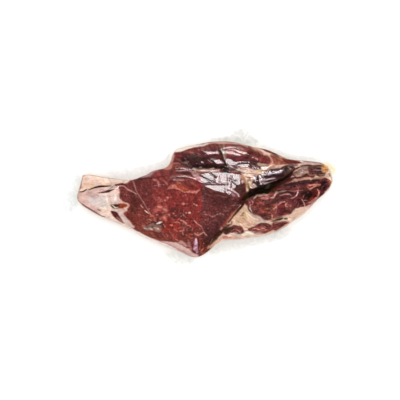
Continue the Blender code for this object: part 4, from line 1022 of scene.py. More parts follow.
    ("553332", 0.85, 5, 2, [(128, -8, 2.5), (140, -10, 3.4), (150, -10, 2.6), (166, -2, 2)]),
    ("4a1e1b", 0.85, 4, 2, [(126, -34, 3), (136, -38, 3), (144, -40, 2)]),
    ("5e2024", 0.85, 5, 2, [(162, -12), (176, -11), (182, -20), (178, -34), (164, -35), (158, -24)]),
    ("64332f", 0.8, 4, 2.5, [(128, -34, 3), (138, -38, 4), (146, -40, 3)]),
    ("96665e", 0.6, 2.5, 2.5, [(133, -36, 1), (136, -40, 1), (140, -37, 1), (145, -41, 1)]),
    ("b08574", 0.8, 1.6, 1, [(149.5, -33, 0.7), (150.5, -38, 1), (150, -43, 0.8)]),
    ("8f403a", 0.7, 4, 2, [(150, -14, 2), (155, -17, 2.4), (157, -22, 2)]),
    ("4e230f", 0.85, 4, 2, [(181, -27, 2), (190, -30, 2.6), (196, -25, 2)]),
    ("46181c", 0.75, 6, 3, [(194, -4, 3), (208, -8, 5), (206, -16, 3)]),
    ("6f332b", 0.8, 4, 2, [(204, -18, 1.6), (212, -16, 2.4), (218, -14, 1.4)]),
    ("c98878", 0.9, 1.6, 1, [(150.5, -24, 0.7), (155, -21.8, 1.1), (158, -18.5, 1.3), (157.5, -15, 1)]),
    ("9d6e67", 0.75, 2, 1, [(160, -20, 0.8), (159.5, -26, 1.2), (158.5, -31, 0.8)]),
    ("da9d92", 0.9, 1.8, 1, [(160.5, -15, 0.7), (164.5, -12, 0.9), (169, -8.6, 1.5), (176, -7.8, 1.3)]),
    ("c8907d", 0.9, 1.5, 0.8, [(181, -9.5, 0.8), (178.5, -12, 0.9), (178, -17, 1.1), (182.5, -18, 0.9)]),
    ("a96f63", 0.8, 1.5, 0.8, [(179.5, -20, 0.5), (181, -25, 0.7)]),
    ("cb978c", 0.9, 1.6, 0.8, [(212.5, -2.5, 1.1), (216, -8, 1.2), (218.6, -14, 1.1), (219, -20, 1)]),
    ("ab877f", 0.8, 1.6, 0.8, [(217, -5, 0.7), (221, -4.6, 1), (225, -5.4, 0.7)]),
    ("c38577", 0.95, 1.8, 0.8, [(245.5, 18, 0.6), (249, 13, 1.2), (249, 8, 1.7), (246.5, 3, 1.9), (242, 0, 1)]),
    ("a07364", 0.85, 1.6, 0.8, [(217.3, 6.5, 0.8), (215, 3, 1)]),
    ("b37c71", 0.8, 1.5, 1, [(185.5, -16, 0.7), (190, -16.3, 0.7)]),
    ("8b4b4d", 0.8, 1.5, 1, [(188, -19, 0.8), (190, -23, 0.7), (190, -28, 0.6)]),
    # its edges
    ("bf7769", 0.9, 3, 1.5, [(226, -9), (234, -4), (244, 1), (246, -3), (240, -9), (230, -12)]),
    ("7d4139", 0.8, 2.5, 1, [(223, -12, 1.2), (231, -13.5, 1.6), (237, -11, 1)]),
    ("d3aaa6", 0.9, 2.5, 1, [(222, -20, 1), (229, -18, 2), (236, -15, 1)]),
    ("ad958f", 0.85, 2.2, 1, [(234, -13, 1), (242, -8, 1.4), (250, 0, 1.4), (255, 5, 0.7)]),
    ("43302e", 0.85, 2.5, 1.5, [(99, -14, 1.5), (99.5, -21, 1.8), (104, -28, 1.6), (112, -34, 1)]),
    ("3a1b15", 0.85, 3, 1.5, [(95, -6, 1.5), (96, -11, 2)]),
    ("5f2b22", 0.8, 5, 2.5, [(110, -3, 3), (118, -4, 4), (124, -5, 3)]),
    ("5a3433", 0.8, 4, 2, [(109, -23, 2), (116, -24, 3), (122, -22, 2)]),
    ("dcbcb2", 0.85, 1.6, 1, [(105, -14, 0.7), (103.5, -20, 1.2), (106, -25, 1.2), (108.5, -29, 0.8)]),
    ("a4766c", 0.75, 1.6, 1, [(100, -2, 0.7), (105, -4, 1), (110, -9, 1.2), (108, -14, 0.9)]),
    ("8d6158", 0.7, 2.5, 2, [(98, -4, 1), (102, -8, 1.6), (104, -12, 1.4)]),
    # painted highlight: thin pale streak on the rump's left lip
    ("e0cac2", 0.85, 1.6, 0.6, [(111, -1, 0.6), (114, 1, 1.3), (118, 4.5, 0.9)]),
    ("8c6a56", 0.8, 2.5, 1, [(117, 6, 1.2), (124, 6.5, 1.4), (130, 7, 1)]),
    ("7d5f4d", 0.8, 2, 1, [(95, -7, 0.6), (98, -4, 1), (101, -2, 0.8)]),
    # fat triangle below the fissure
    ("ddb99f", 0.95, 4, 2, [
        (90, -15), (97, -17), (102, -31), (114, -40), (130, -49), (142, -53), (116, -58), (108, -64), (92, -66),
        (88, -58), (72, -55), (67, -52), (70, -42), (80, -28)]),
    ("dbb68a", 0.8, 8, 4, [(94, -26), (103, -36), (98, -44), (86, -54), (80, -46), (88, -34)]),
    ("dda994", 0.7, 6, 3, [(80, -36, 4), (86, -44, 3), (104, -54, 4)]),
    ("544022", 0.9, 1.3, 0.4, [(86.5, -35, 0.6), (90.5, -31.5, 1.1)]),
    ("6b4e2c", 0.85, 1.3, 0.4, [(83, -37, 0.5), (91, -35.8, 0.8)]),
    ("86663c", 0.8, 1.5, 0.5, [(97.5, -35, 0.7), (99.5, -40, 1)]),
    ("f4e2d0", 0.95, 1.8, 0.6, [(98, -31, 0.7), (104, -37, 1.3), (112, -42, 1.2), (122, -46, 1)]),
    ("c9aa9e", 0.85, 3, 1, [(108, -33, 2), (118, -39, 2.6), (130, -46, 2.6), (140, -50, 1.6)]),
    ("f6e0d4", 0.85, 3, 1, [(122, -52, 1.5), (132, -52, 2), (140, -51, 1.2)]),
    ("8f6f4c", 0.8, 1.4, 0.6, [(83, -37.5, 0.5), (90, -36.8, 0.9)]),
    ("94744f", 0.8, 1.4, 0.6, [(88, -43, 0.6), (94, -44.5, 0.8)]),
    ("b98d70", 0.8, 1.6, 0.8, [(76, -47, 0.8), (82, -51, 1), (90, -52, 0.7)]),
    ("f3dcc6", 0.85, 1.8, 0.8, [(96, -30, 1), (98, -38, 1.5), (103, -44, 1)]),
    ("c79b84", 0.8, 1.8, 0.8, [(98, -56, 1), (106, -54, 1.2), (114, -54, 0.8)]),
    # fissure: painted shade in its deep groove, between orange and pale lips
    ("95503e", 0.9, 2.5, 1.5, [
        (90, -8, 0.8), (83, -17, 1.4), (75, -26, 1.7), (67, -35, 2.2), (59, -45, 2), (52, -54, 1.2)]),
    ("c47e68", 0.8, 1.8, 1, [(80, -21, 0.6), (72, -31, 0.9), (64, -40, 1), (58, -47, 0.7)]),
    ("3c1c0e", 0.95, 2.5, 1, [
        (90, -10, 1.6), (86, -18, 2.3), (80, -26, 2.3), (74, -33, 1.8), (66, -43, 1.5), (60, -50, 1.6)]),
    ("39190f", 0.95, 6, 2, [(58, -56, 2), (48, -66, 4), (38, -76, 5), (28, -86, 5), (20, -94, 4)]),
    ("5c3a20", 0.8, 4, 2, [(52, -54, 2), (62, -56, 1.6), (66, -50, 1.4)]),
    ("cb968a", 0.85, 3, 1, [(43, -66, 1.4), (46, -62, 1.8)]),
    # small muscles in the fat
    ("5a2b28", 0.95, 3, 2, [(50, -60), (62, -60), (76, -57), (88, -61), (90, -74), (72, -75), (54, -77), (48, -70)]),
    ("37200f", 0.85, 4, 2, [(52, -66, 4), (60, -68, 4), (56, -74, 2)]),
    ("c98478", 0.7, 2, 1.5, [(66, -70, 0.8), (76, -66, 1.2), (86, -70, 1)]),
    ("7d3d37", 1.0, 2, 1, [
        (99, -65), (112, -60), (122, -54.5), (136, -52.5), (148, -57), (153, -65), (142, -72), (126, -77), (112, -74)]),
    ("dc9f93", 0.85, 1.5, 0.8, [(110, -65, 0.6), (117, -63.5, 0.9), (124, -66, 1), (132, -64, 0.9), (140, -66.5, 0.6)]),
    ("c68478", 0.8, 1.5, 0.8, [(130, -57, 0.6), (136, -61, 0.9), (143, -61.5, 0.6)]),
    ("c98277", 0.8, 1.6, 1, [(114, -71, 0.6), (128, -69, 1), (138, -68, 0.6)]),
    ("542a27", 0.7, 3, 1, [(122, -60, 1.6), (134, -58, 2), (143, -63, 1.4)]),
    ("6a2f2a", 0.9, 1.6, 0.6, [(102, -65, 0.8), (112, -68, 1.2)]),
    ("7a352f", 0.95, 2.5, 1.5, [
        (151, -52), (162, -50), (172, -50), (182, -48), (192, -50), (184, -56), (172, -61), (160, -68), (153, -66),
        (150, -60)]),
    ("50221f", 0.7, 3, 2, [(156, -56, 1.6), (168, -56, 2), (180, -52, 1.4)]),
    ("5f4a30", 0.9, 3, 2, [(150, -49, 1.2), (160, -46, 2.4), (172, -43, 2.2), (182, -44, 1.4)]),
    ("33290f", 0.85, 1.8, 0.8, [(158, -45.5, 0.8), (166, -43.5, 1.5), (174, -43, 1.2), (180, -45, 0.7)]),
    ("cf8f86", 0.8, 1.4, 0.6, [(154, -53, 0.6), (162, -51.5, 0.9), (170, -50.5, 0.7)]),
    ("efd8cc", 0.85, 2, 1, [(168, -47, 0.8), (173, -45, 1.4), (176, -41, 1)]),
    # fat along the lower right
    ("ecc6b0", 0.9, 5, 2, [
        (190, -34), (201, -22), (220, -20), (230, -24), (206, -44), (186, -56), (168, -64), (190, -46)]),
    ("f6e4d8", 0.8, 4, 2, [(172, -66, 2.5), (186, -58, 3), (204, -47, 3.5), (218, -35, 3), (230, -24, 2.5)]),
    ("f0d0bf", 0.6, 5, 2, [(50, -80), (100, -70), (150, -76), (160, -72), (130, -84), (90, -90), (50, -92)]),
    ("dba08c", 0.85, 4, 2, [(46, -83, 3.5), (60, -85, 3), (80, -84, 2.6), (98, -80, 1.8)]),
    ("b86d5f", 0.8, 3, 2, [(50, -84, 2.5), (56, -82, 2.5)]),
    ("f4decd", 0.9, 2.5, 1, [(65, -75, 1.2), (74, -78, 1.8), (92, -78, 2), (106, -75, 1.5)]),
    ("e6b398", 0.9, 4, 2, [(40, -88, 3), (30, -96, 3), (22, -104, 2.5)]),
    ("f9e2d4", 0.9, 3, 1, [(44, -91, 1.5), (70, -89, 1.5), (100, -86, 2), (130, -82, 2), (156, -74, 2)]),
]

# thin veins of fat in the lean: colour, half width, path
leanVeins = [
    ("cd8a78", 1.0, [(-52, -51), (-46, -50.5), (-42, -53)]),
    ("d29181", 1.1, [(-41, -47), (-36, -47.5), (-33, -50), (-29, -53), (-28, -55)]),
    ("bd7866", 0.8, [(-26, -57), (-22, -58), (-19, -60)]),
    ("a97064", 0.7, [(-42, -30), (-36, -34), (-30, -41)]),
    ("b46058", 1.1, [(-64, -70), (-60, -74), (-55, -80), (-50, -86)]),
    ("cf8672", 1.2, [(-51, -85), (-47, -88)]),
    ("be6650", 0.9, [(-30, -76), (-25, -80.5), (-19, -86)]),
    ("c4857a", 1.0, [(-12, -46), (-9, -50), (-6, -53), (-1, -56), (3, -60)]),
    ("a8695f", 0.8, [(3, -60), (6, -65), (8, -70)]),
    ("cf9384", 1.1, [(-10, -75), (-6, -77), (-3, -79), (0, -77), (4, -74.5), (8, -72), (11, -75), (14, -78)]),
    ("bd7d6e", 0.9, [(-4, -73), (-3, -77)]),
    ("9b5f57", 0.9, [
        (8, -34), (18, -35), (23, -37), (27, -38.5), (31, -37), (36, -34), (39, -32.5), (44, -32.5), (50, -36)]),
    ("bd7c70", 0.8, [(-16, -61), (-15.5, -67)]),
    ("b26c60", 0.8, [(-30, -61), (-27, -66), (-25, -68.5)]),
    ("ab6a60", 0.7, [(-1, -63), (1, -67)]),
    ("b85a50", 1.4, [(-54, -65), (-51, -68), (-47, -70.5)]),
    ("c98077", 1.4, [(-43, -70), (-38, -69), (-34, -66.5)]),
    ("bc7a70", 1.6, [(-37, -72), (-35, -77)]),
    ("d9857a", 1.1, [(-76.5, -55.5), (-73, -59.5)]),
    ("cd745c", 0.9, [(-63, -56), (-59.5, -59.5)]),
    ("97544f", 1.4, [(-80, -73), (-75, -78), (-71, -83)]),
    ("a8645c", 1.0, [(-70, -75), (-68, -80)]),
    ("96605a", 0.6, [(-66, 1), (-60, 2)]),
    ("7b4240", 0.7, [(10, 8), (24, 3), (40, 4), (54, 0)]),
    ("96605c", 0.7, [(65, -15.5), (72, -15), (82, -15.5)]),
    ("8c5450", 0.6, [(20, -50), (32, -46), (42, -52)]),
    ("a2625a", 0.7, [(-46, -10), (-36, -12), (-26, -11)]),
    ("cf8c70", 1.1, [(-105, -44.5), (-101, -48)]),
    ("b86a5e", 1.0, [(-96, -46.5), (-92, -50)]),
    ("b06a60", 0.8, [(-98.5, -36), (-96.5, -39.5)]),
    ("b5625a", 0.8, [(-128, -33.5), (-125, -37)]),
    ("7c5a50", 1.0, [(22, -94), (25, -88), (27, -85)]),
    ("7e5250", 0.7, [(35, 7), (46, 3), (56, 0.5)]),
]

# pale grains in the cured lean: x, y, half width, colour
leanGrains = [
    (-68, 1, 2.0, "d08478"), (-73, -5, 1.6, "c07a70"), (-53, -11, 1.2, "a8605a"), (-34, -12, 2.2, "cb7d70"),
    (-27, -12, 1.2, "b96f66"), (-12, -13, 1.4, "cf9184"), (-7, -15.5, 1.7, "e0a293"), (-28, -31, 1.7, "c98f84"),
    (-21.5, -31, 2.0, "f3c8bc"), (-89, -35, 1.5, "dc8f82"), (-51, -37, 1.3, "b67468"), (-66, -35, 1.6, "a86256"),
    (-31, 6, 1.5, "a85a58"), (-35, 4, 1.2, "a35552"), (-20, 1, 1.0, "9c4c4a"), (-55, -33, 1.3, "b0685a"),
    (-112, 8, 1.4, "96605c"), (-122, 26, 1.2, "8a5250"), (-106, -22, 1.8, "a86e66"), (-40, -38, 1.2, "a9756c"),
    (30, -36, 1.4, "93605a"), (10, 9, 1.2, "7c4a47"), (22, 12, 1.3, "7e4a46"), (56, -8, 1.0, "7b4441"),
    (-58, -57, 1.5, "cc7460"), (-76, 7, 1.4, "9a4c48"), (36, 4, 1.1, "7a4643"), (-100, 30, 1.3, "8e5654"),
    (-73, -43.5, 1.9, "e0857a"), (-74, -39, 1.5, "cf7466"), (-72.5, -47, 1.3, "cf7466"), (-82, -43.5, 2.4, "c76e5e"),
    (-102, -39, 1.3, "b5654c"), (-108, -45, 1.3, "ad7058"), (-104, -51, 1.2, "a86650"), (-64, -36, 1.5, "b26a5c"),
    (-55, -32.5, 1.4, "b37060"), (-35, -36.5, 1.3, "b9827a"), (-45, -44.5, 1.2, "a8665a"), (-116, -43, 1.5, "8d5450"),
    (-98, -53.5, 1.2, "ab6660"), (-115, -55.5, 1.3, "a05c54"), (-64, -66, 1.2, "b2604c"), (-85, -69, 1.3, "b0675a"),
    (-119, -72, 1.3, "a8584e"), (-100, -75, 1.8, "a4614f"), (-28, -47, 1.4, "9c5c54"), (-2, -29, 2.0, "9a4a4c"),
    (9, -29, 1.6, "93605a"), (12, -33.5, 1.5, "9c645c"), (26.5, -38.5, 1.5, "b87c70"), (36.5, -34, 1.2, "b07c74"),
    (42, -32, 1.5, "a67670"), (48, -34, 1.1, "a67670"), (17.5, -43, 1.4, "8c504c"), (-8, -51, 1.4, "d69686"),
    (17, -64, 1.5, "8a5050"), (27, -56, 1.8, "86484a"), (40, -53.5, 1.3, "7a4c4c"), (-20, -75, 2.4, "9c5040"),
    (-16, -76, 1.3, "b8705c"), (-16, -84, 1.4, "a86458"), (3, -85, 1.3, "8c4c42"), (-25, -63, 1.2, "a86256"),
    (-34, -26, 1.3, "9a5c54"), (-44, -25, 1.1, "8c4c46"), (62, -22, 1.3, "84534f"), (52, -14, 1.1, "804e4b"),
    (-128, -28, 1.2, "96524a"), (-133, -34, 1.1, "98544a"), (-118, -37, 1.2, "9a5a4c"), (-140, -30, 1.2, "92524a"),
    (-110, -38, 1.1, "a06450"), (-122, -47, 1.2, "96544c"), (-90, -41, 1.2, "ae5f50"), (-57, -42, 1.1, "8a4640"),
]

# how the lean and fat are grained: direction of the streaks in degrees, their length and width in mm, how much
# they lighten and darken, how many pale threads run along them, and the area
hamGrain = {
    "main muscle": (-38, 11, 3.0, 0.12, 0.5, [
        (-172, 24), (-112, 52), (-58, 30), (0, 30), (90, -3), (47, -52), (12, -78), (-60, -60), (-166, 0)]),
    "lower muscle": (-30, 9, 3.0, 0.26, 0.55, [
        (-166, -10), (-100, -30), (-20, -40), (30, -50), (20, -110), (-4, -90), (-80, -86), (-154, -42)]),
    "top muscle": (10, 22, 3.5, 0.3, 0.1, [
        (-58, 71), (-56, 88), (-22, 102), (20, 111), (90, 109), (150, 75), (105, 76), (60, 60), (-20, 62)]),
    "between": (12, 12, 3.0, 0.35, 0.4, [
        (-62, 56), (-50, 68), (0, 62), (60, 58), (86, 44), (60, 34), (0, 30), (-58, 28)]),
    "fat gully": (24, 12, 3.0, 0.3, 0.2, [(60, 66), (150, 74), (200, 70), (150, 30), (110, 20), (96, 14), (88, 40)]),
    "roll": (22, 18, 3.0, 0.45, 0.2, [(108, 30), (128, 53), (190, 68), (200, 58), (150, 24), (118, 22)]),
    "knob": (4, 14, 2.6, 0.42, 0.3, [(196, 48), (204, 60), (262, 70), (272, 56), (262, 44), (206, 42)]),
    "rump": (14, 15, 3.2, 0.55, 0.7, [
        (104, -2), (170, 24), (262, 42), (277, 32), (250, 2), (200, -22), (150, -46), (100, -18)]),
    "low muscles": (8, 10, 2.6, 0.45, 0.6, [(46, -56), (100, -58), (190, -40), (190, -50), (150, -70), (60, -80)]),
    "upper right": (-22, 14, 3.0, 0.25, 0.3, [(106, 112), (150, 98), (214, 78), (205, 68), (150, 68), (124, 96)]),
    "fat triangle": (-35, 9, 3.0, 0.13, 0.1, [(90, -12), (145, -52), (100, -76), (40, -80), (60, -48)]),
    "low fat": (12, 12, 3.0, 0.16, 0.1, [(40, -92), (60, -74), (170, -66), (226, -22), (232, -30), (150, -78)]),
    "shank": (14, 14, 3.0, 0.12, 0.1, [(-258, 48), (-150, 42), (-170, 0), (-150, -56), (-258, -10)]),
}

fibres = {
    "areaSoft": 7.0,
    "areaMargin": 10.0,  # searched round an area
    "bend": 2.5,  # how far the streaks wander
    "bendSize": 12.0,
    "patch": 0.6,  # broader light and dark, as a share of the streaks'
    "patchSize": 9.0,
    "threadPace": 1.6,  # the pale threads are this much shorter than the streaks, and lie further apart
    "threadGap": 2.2,
    "threadWidth": 0.09,
    "threadPatchSize": 11.0,
    "threadColour": "d8a090",
}


def hexColour(text):
    return np.array([int(text[i:i + 2], 16) / 255 for i in (0, 2, 4)])


def toLinear(values):
    values = np.asarray(values, float)
    return np.where(values <= 0.04045, values / 12.92, ((values + 0.055) / 1.055) ** 2.4)


def layPaint(colours, plan, shift, colour, strength, soft, wobble, shape):
    # one layer over what is there; its edge wanders with the noise in shift
    near = nearBox(plan, np.array(shape, float), soft + 2 * wobble + meatSettings["paintMargin"])
    edge = shapeEdge(plan[near] + wobble * shift[near], shape)
    cover = strength * (1 - smoothRamp(edge, -soft / 2, soft / 2))
    colours[near] += cover[:, None] * (hexColour(colour) - colours[near])


def layGrain(colours, plan):
    # streaks along the fibres, and pale threads between them
    for index, (turn, length, width, depth, threads, area) in enumerate(hamGrain.values()):
        near = nearBox(plan, np.array(area, float), fibres["areaMargin"])
        x, y = plan[near].T
        cover = 1 - smoothRamp(shapeEdge(plan[near], area), -fibres["areaSoft"], fibres["areaSoft"])
        along = x * math.cos(math.radians(turn)) + y * math.sin(math.radians(turn))
        across = y * math.cos(math.radians(turn)) - x * math.sin(math.radians(turn))
        bend = fibres["bend"] * hills(x, y, fibres["bendSize"], 110 + index)
        streak = roughHills(along / length * width, across + bend, width, 120 + index)
        patch = roughHills(x, y, fibres["patchSize"], 140 + index)
        tone = 1 + depth * cover * (streak + fibres["patch"] * patch)
        colours[near] *= tone[:, None]
        pace = along / length * width * fibres["threadPace"]
        line = np.abs(roughHills(pace, across + 2 * bend, width * fibres["threadGap"], 160 + index))
        where = smoothRamp(hills(x, y, fibres["threadPatchSize"], 180 + index), 0.1, 0.5)
        thread = threads * cover * where * (1 - smoothRamp(line, 0.0, fibres["threadWidth"]))
        pale = np.minimum(colours[near] * 0.5 + hexColour(fibres["threadColour"]) * 0.6, 1)
        colours[near] += thread[:, None] * (pale - colours[near])


def leanColours(plan):
    # the lean face, from its muscles down to single grains, as sRGB
    x, y = plan.T
    size = meatSettings["wanderSize"]
    shift = np.stack([roughHills(x, y, size, seed, 4) for seed in (70, 75)], axis=-1) * meatSettings["wander"]
    colours = np.tile(hexColour(meatSettings["leanColour"]), (len(plan), 1))
    for layer in hamPaint:
        layPaint(colours, plan, shift, *layer)
    layGrain(colours, plan)
    for colour, halfWidth, path in leanVeins:
        path = [(px, py, halfWidth) for px, py in path]
        layPaint(colours, plan, shift, colour, *meatSettings["veinEdge"], path)
    for px, py, radius, colour in leanGrains:
        near = nearBox(plan, np.array([(px, py)], float), meatSettings["grainMargin"])
        away = plan[near] + meatSettings["grainWobble"] * shift[near] - (px, py)
        across = np.hypot(away[:, 0] * meatSettings["grainWide"], away[:, 1])
        cover = meatSettings["grainStrength"] * (1 - smoothRamp(across, radius * 0.5, radius * 1.5))
        colours[near] += cover[:, None] * (hexColour(colour) - colours[near])
    return colours


# the outer fat is seen from the sides and from below, so its patches are laid the same way
fatPaint = {
    "shank skin": ("d3a679", 0.8, 40, 14, [(-262, -30), (-170, -60), (-150, 0), (-160, 50), (-262, 60)]),
    "golden patch": ("cb9a63", 0.55, 34, 16, [(-120, -40), (-60, -70), (-10, -50), (-30, 0), (-100, 10)]),
    "golden patch two": ("d0a26c", 0.5, 30, 14, [(60, 20), (130, 10), (170, 50), (110, 90), (50, 70)]),
    "golden patch three": ("c8945c", 0.45, 26, 12, [(190, -20), (240, 0), (250, 40), (210, 50), (180, 20)]),
    "trimmed patch": ("dba48e", 0.6, 16, 12, [(-40, 40), (10, 50), (20, 90), (-20, 95), (-50, 80)]),
    "trimmed patch two": ("d79c86", 0.5, 14, 12, [(120, -60), (170, -50), (180, -30), (140, -25), (110, -40)]),
    "lean peeping through": ("a4584a", 0.55, 10, 10, [(-20, 66), (4, 70), (8, 84), (-12, 86)]),
    "lean peeping through two": ("9c5144", 0.5, 10, 10, [(140, -52), (160, -48), (158, -38), (142, -40)]),
}


def fatColours(plan):
    x, y = plan.T
    size = meatSettings["fatWanderSize"]
    shift = np.stack([roughHills(x, y, size, seed) for seed in (80, 85)], axis=-1) * meatSettings["fatWander"]
    colours = np.tile(hexColour(meatSettings["fatColour"]), (len(plan), 1))
    for layer in fatPaint.values():
        layPaint(colours, plan, shift, *layer)
    pink = smoothRamp(roughHills(x, y, meatSettings["pinkSize"], 90), 0.05, 0.6)[:, None] * meatSettings["pink"]
    colours += pink * (hexColour(meatSettings["pinkTint"]) - colours)
    thread = 1 - smoothRamp(np.abs(roughHills(x, y, meatSettings["threadSize"], 95))[:, None], 0.0, 0.05)
    colours += meatSettings["thread"] * thread * (hexColour(meatSettings["threadColour"]) - colours)
    return colours


def meatColours(places):
    # linear colour of every point, and in the fourth column how lean it is
    plan = places[:, :2] / mm + planCentre
    above = places[:, 2] / mm - ham["equator"]
    x, y = plan.T
    wander = roughHills(x + above, y, meatSettings["sideBandSize"], 50)
    band = meatSettings["sideBand"] + meatSettings["sideBandWander"] * wander
    lean = smoothRamp(above, band - meatSettings["sideBandSoft"], band + meatSettings["sideBandSoft"])[:, None]
    colours = leanColours(plan) * lean + fatColours(plan) * (1 - lean)
    mottle = meatSettings["mottle"] * roughHills(x, y + above, meatSettings["mottleSize"], 100)
    mottle += meatSettings["fleck"] * roughHills(x + 0.5 * y, y - 0.5 * x + above, meatSettings["fleckSize"], 105)
    redness = smoothRamp((colours[:, 0] - colours[:, 1]) / colours[:, 0], 0.28, 0.5)
    colours = colours * (1 + mottle * (0.3 + 0.7 * redness))[:, None]
    speck = smoothRamp(hills(x, y, meatSettings["speckSize"], 107), 0.5, 0.95)
    speck *= smoothRamp(hills(x, y, meatSettings["speckPatch"], 108), -0.5, 0.6)
    speck = (meatSettings["speck"] * speck * redness)[:, None]
    colours += speck * (hexColour(meatSettings["speckColour"]) - colours)
    return np.column_stack([toLinear(np.clip(colours, 0, 1)) * meatSettings["exposure"], redness])


def laySheet(bm, columns, rows, places):
    # a grid laid corner by corner where the ham's sheet lies
    made = bmesh.ops.create_grid(bm, x_segments=columns, y_segments=rows, size=1.0)["verts"]
    flat = (np.array([vert.co[:2] for vert in made]) + 1) / 2 * (columns, rows)
    index = np.rint(flat).astype(int) @ (rows + 1, 1)
    for vert, place in zip(made, places[index]):
        vert.co = place * mm
    return made, index


def finishMesh(bm, name, material):
    mesh = bpy.data.meshes.new(name)
    bm.to_mesh(mesh)
    bm.free()
    mesh.polygons.foreach_set("use_smooth", [True] * len(mesh.polygons))
    mesh.materials.append(material)
    piece = bpy.data.objects.new(name, mesh)
    bpy.context.scene.collection.objects.link(piece)
    return piece


def thinOut(piece, verts, share):
    # fewer faces below, where nothing fine shows, so the lean face can have more
    piece.vertex_groups.new(name="below").add(verts, 1.0, "REPLACE")
    thinner = piece.modifiers.new("fewer faces below", "DECIMATE")
    thinner.vertex_group = "below"
    thinner.ratio = share
    before = piece.data
    evaluated = piece.evaluated_get(bpy.context.evaluated_depsgraph_get())
    piece.data = bpy.data.meshes.new_from_object(evaluated)
    piece.modifiers.clear()
    piece.vertex_groups.clear()
    bpy.data.meshes.remove(before)


def addNode(tree, kind, settings, links=None):
    # one shader node, its settings by property or socket name, and what is linked into it
    node = tree.nodes.new(kind)
    for name, value in settings.items():
        if isinstance(name, int) or name in node.inputs:
            node.inputs[name].default_value = value
        else:
            setattr(node, name, value)
    for name, source in (links or {}).items():
        tree.links.new(source, node.inputs[name])
    return node


def newMaterial(name):
    material = bpy.data.materials.new(name)
    material.use_nodes = True
    material.node_tree.nodes.clear()
    return material, material.node_tree


def curedHamMaterial():
    # air-cured lean and fat pressed under film: dark, dense and slightly waxy, with short fibres and fine marbling
    material, tree = newMaterial("curedLeanAndFat")
    paint = addNode(tree, "ShaderNodeAttribute", {"attribute_name": "paint"})
    place = addNode(tree, "ShaderNodeTexCoord", {})
    # grain of 3 mm and fibres 1.2 mm wide and ten times as long, across the big muscle
    grain = addNode(tree, "ShaderNodeTexNoise", {"Scale": 330.0, "Detail": 4.0, "Roughness": 0.6},
                    {"Vector": place.outputs["Object"]})
    turned = addNode(tree, "ShaderNodeMapping", {"Rotation": (0, 0, math.radians(38)), "Scale": (90.0, 800.0, 300.0)},
                     {"Vector": place.outputs["Object"]})
    fibre = addNode(tree, "ShaderNodeTexNoise", {"Scale": 1.0, "Detail": 2.0}, {"Vector": turned.outputs["Vector"]})
    both = addNode(tree, "ShaderNodeMix", {"data_type": "FLOAT", "Factor": 0.4},
                   {2: grain.outputs["Fac"], 3: fibre.outputs["Fac"]})
    light = addNode(tree, "ShaderNodeMapRange", {"From Min": 0.34, "From Max": 0.66, "To Min": 0.66, "To Max": 1.34},
                    {"Value": both.outputs[0]})
    soft = addNode(tree, "ShaderNodeMix", {"data_type": "FLOAT", 2: 1.0},
                   {"Factor": paint.outputs["Alpha"], 3: light.outputs["Result"]})
    colour = addNode(tree, "ShaderNodeVectorMath", {"operation": "SCALE"},
                     {0: paint.outputs["Color"], "Scale": soft.outputs[0]})
    bump = addNode(tree, "ShaderNodeBump", {"Strength": 0.5, "Distance": 0.0004}, {"Height": both.outputs[0]})
    rough = addNode(tree, "ShaderNodeMapRange", {"To Min": 0.42, "To Max": 0.62}, {"Value": grain.outputs["Fac"]})
    shader = addNode(tree, "ShaderNodeBsdfPrincipled",
                     {"IOR": 1.4, "Subsurface Weight": 0.08, "Subsurface Scale": 0.002, "Specular IOR Level": 0.08},
                     {"Base Color": colour.outputs["Vector"], "Roughness": rough.outputs["Result"],
                      "Normal": bump.outputs["Normal"]})
    addNode(tree, "ShaderNodeOutputMaterial", {}, {"Surface": shader.outputs["BSDF"]})
    return material


# where the film is gathered or stained: colour, strength, loop of plan points
filmHaze = {
    "upper left strip": ("ecedee", 0.6, [
        (-196, 60), (-150, 66), (-84, 82), (-62, 100), (-66, 70), (-90, 60), (-140, 44), (-185, 46)]),
    "top ear": ("ebeceb", 1.0, [(20, 124), (60, 132), (84, 152), (104, 146), (126, 118), (100, 112), (60, 118)]),
    "top right strip": ("eff0f0", 0.6, [
        (126, 118), (150, 108), (200, 92), (250, 88), (246, 78), (190, 80), (140, 100)]),
    "shank end": ("f0f2f2", 1.0, [
        (-262, 52), (-282, 30), (-296, -10), (-290, -40), (-262, -30), (-256, 10), (-250, 40)]),
    "bottom ear": ("eff0ef", 0.9, [(-80, -116), (-52, -146), (-24, -150), (-14, -134), (-14, -124), (-50, -112)]),
    "lower right strip": ("eff0ef", 0.7, [
        (20, -112), (40, -124), (100, -110), (170, -96), (196, -74), (180, -64), (110, -86), (50, -92)]),
    "yellow stain": ("f7efd8", 0.9, [(262, 76), (276, 75), (287, 66), (288, 56), (280, 50), (272, 56), (266, 68)]),
}


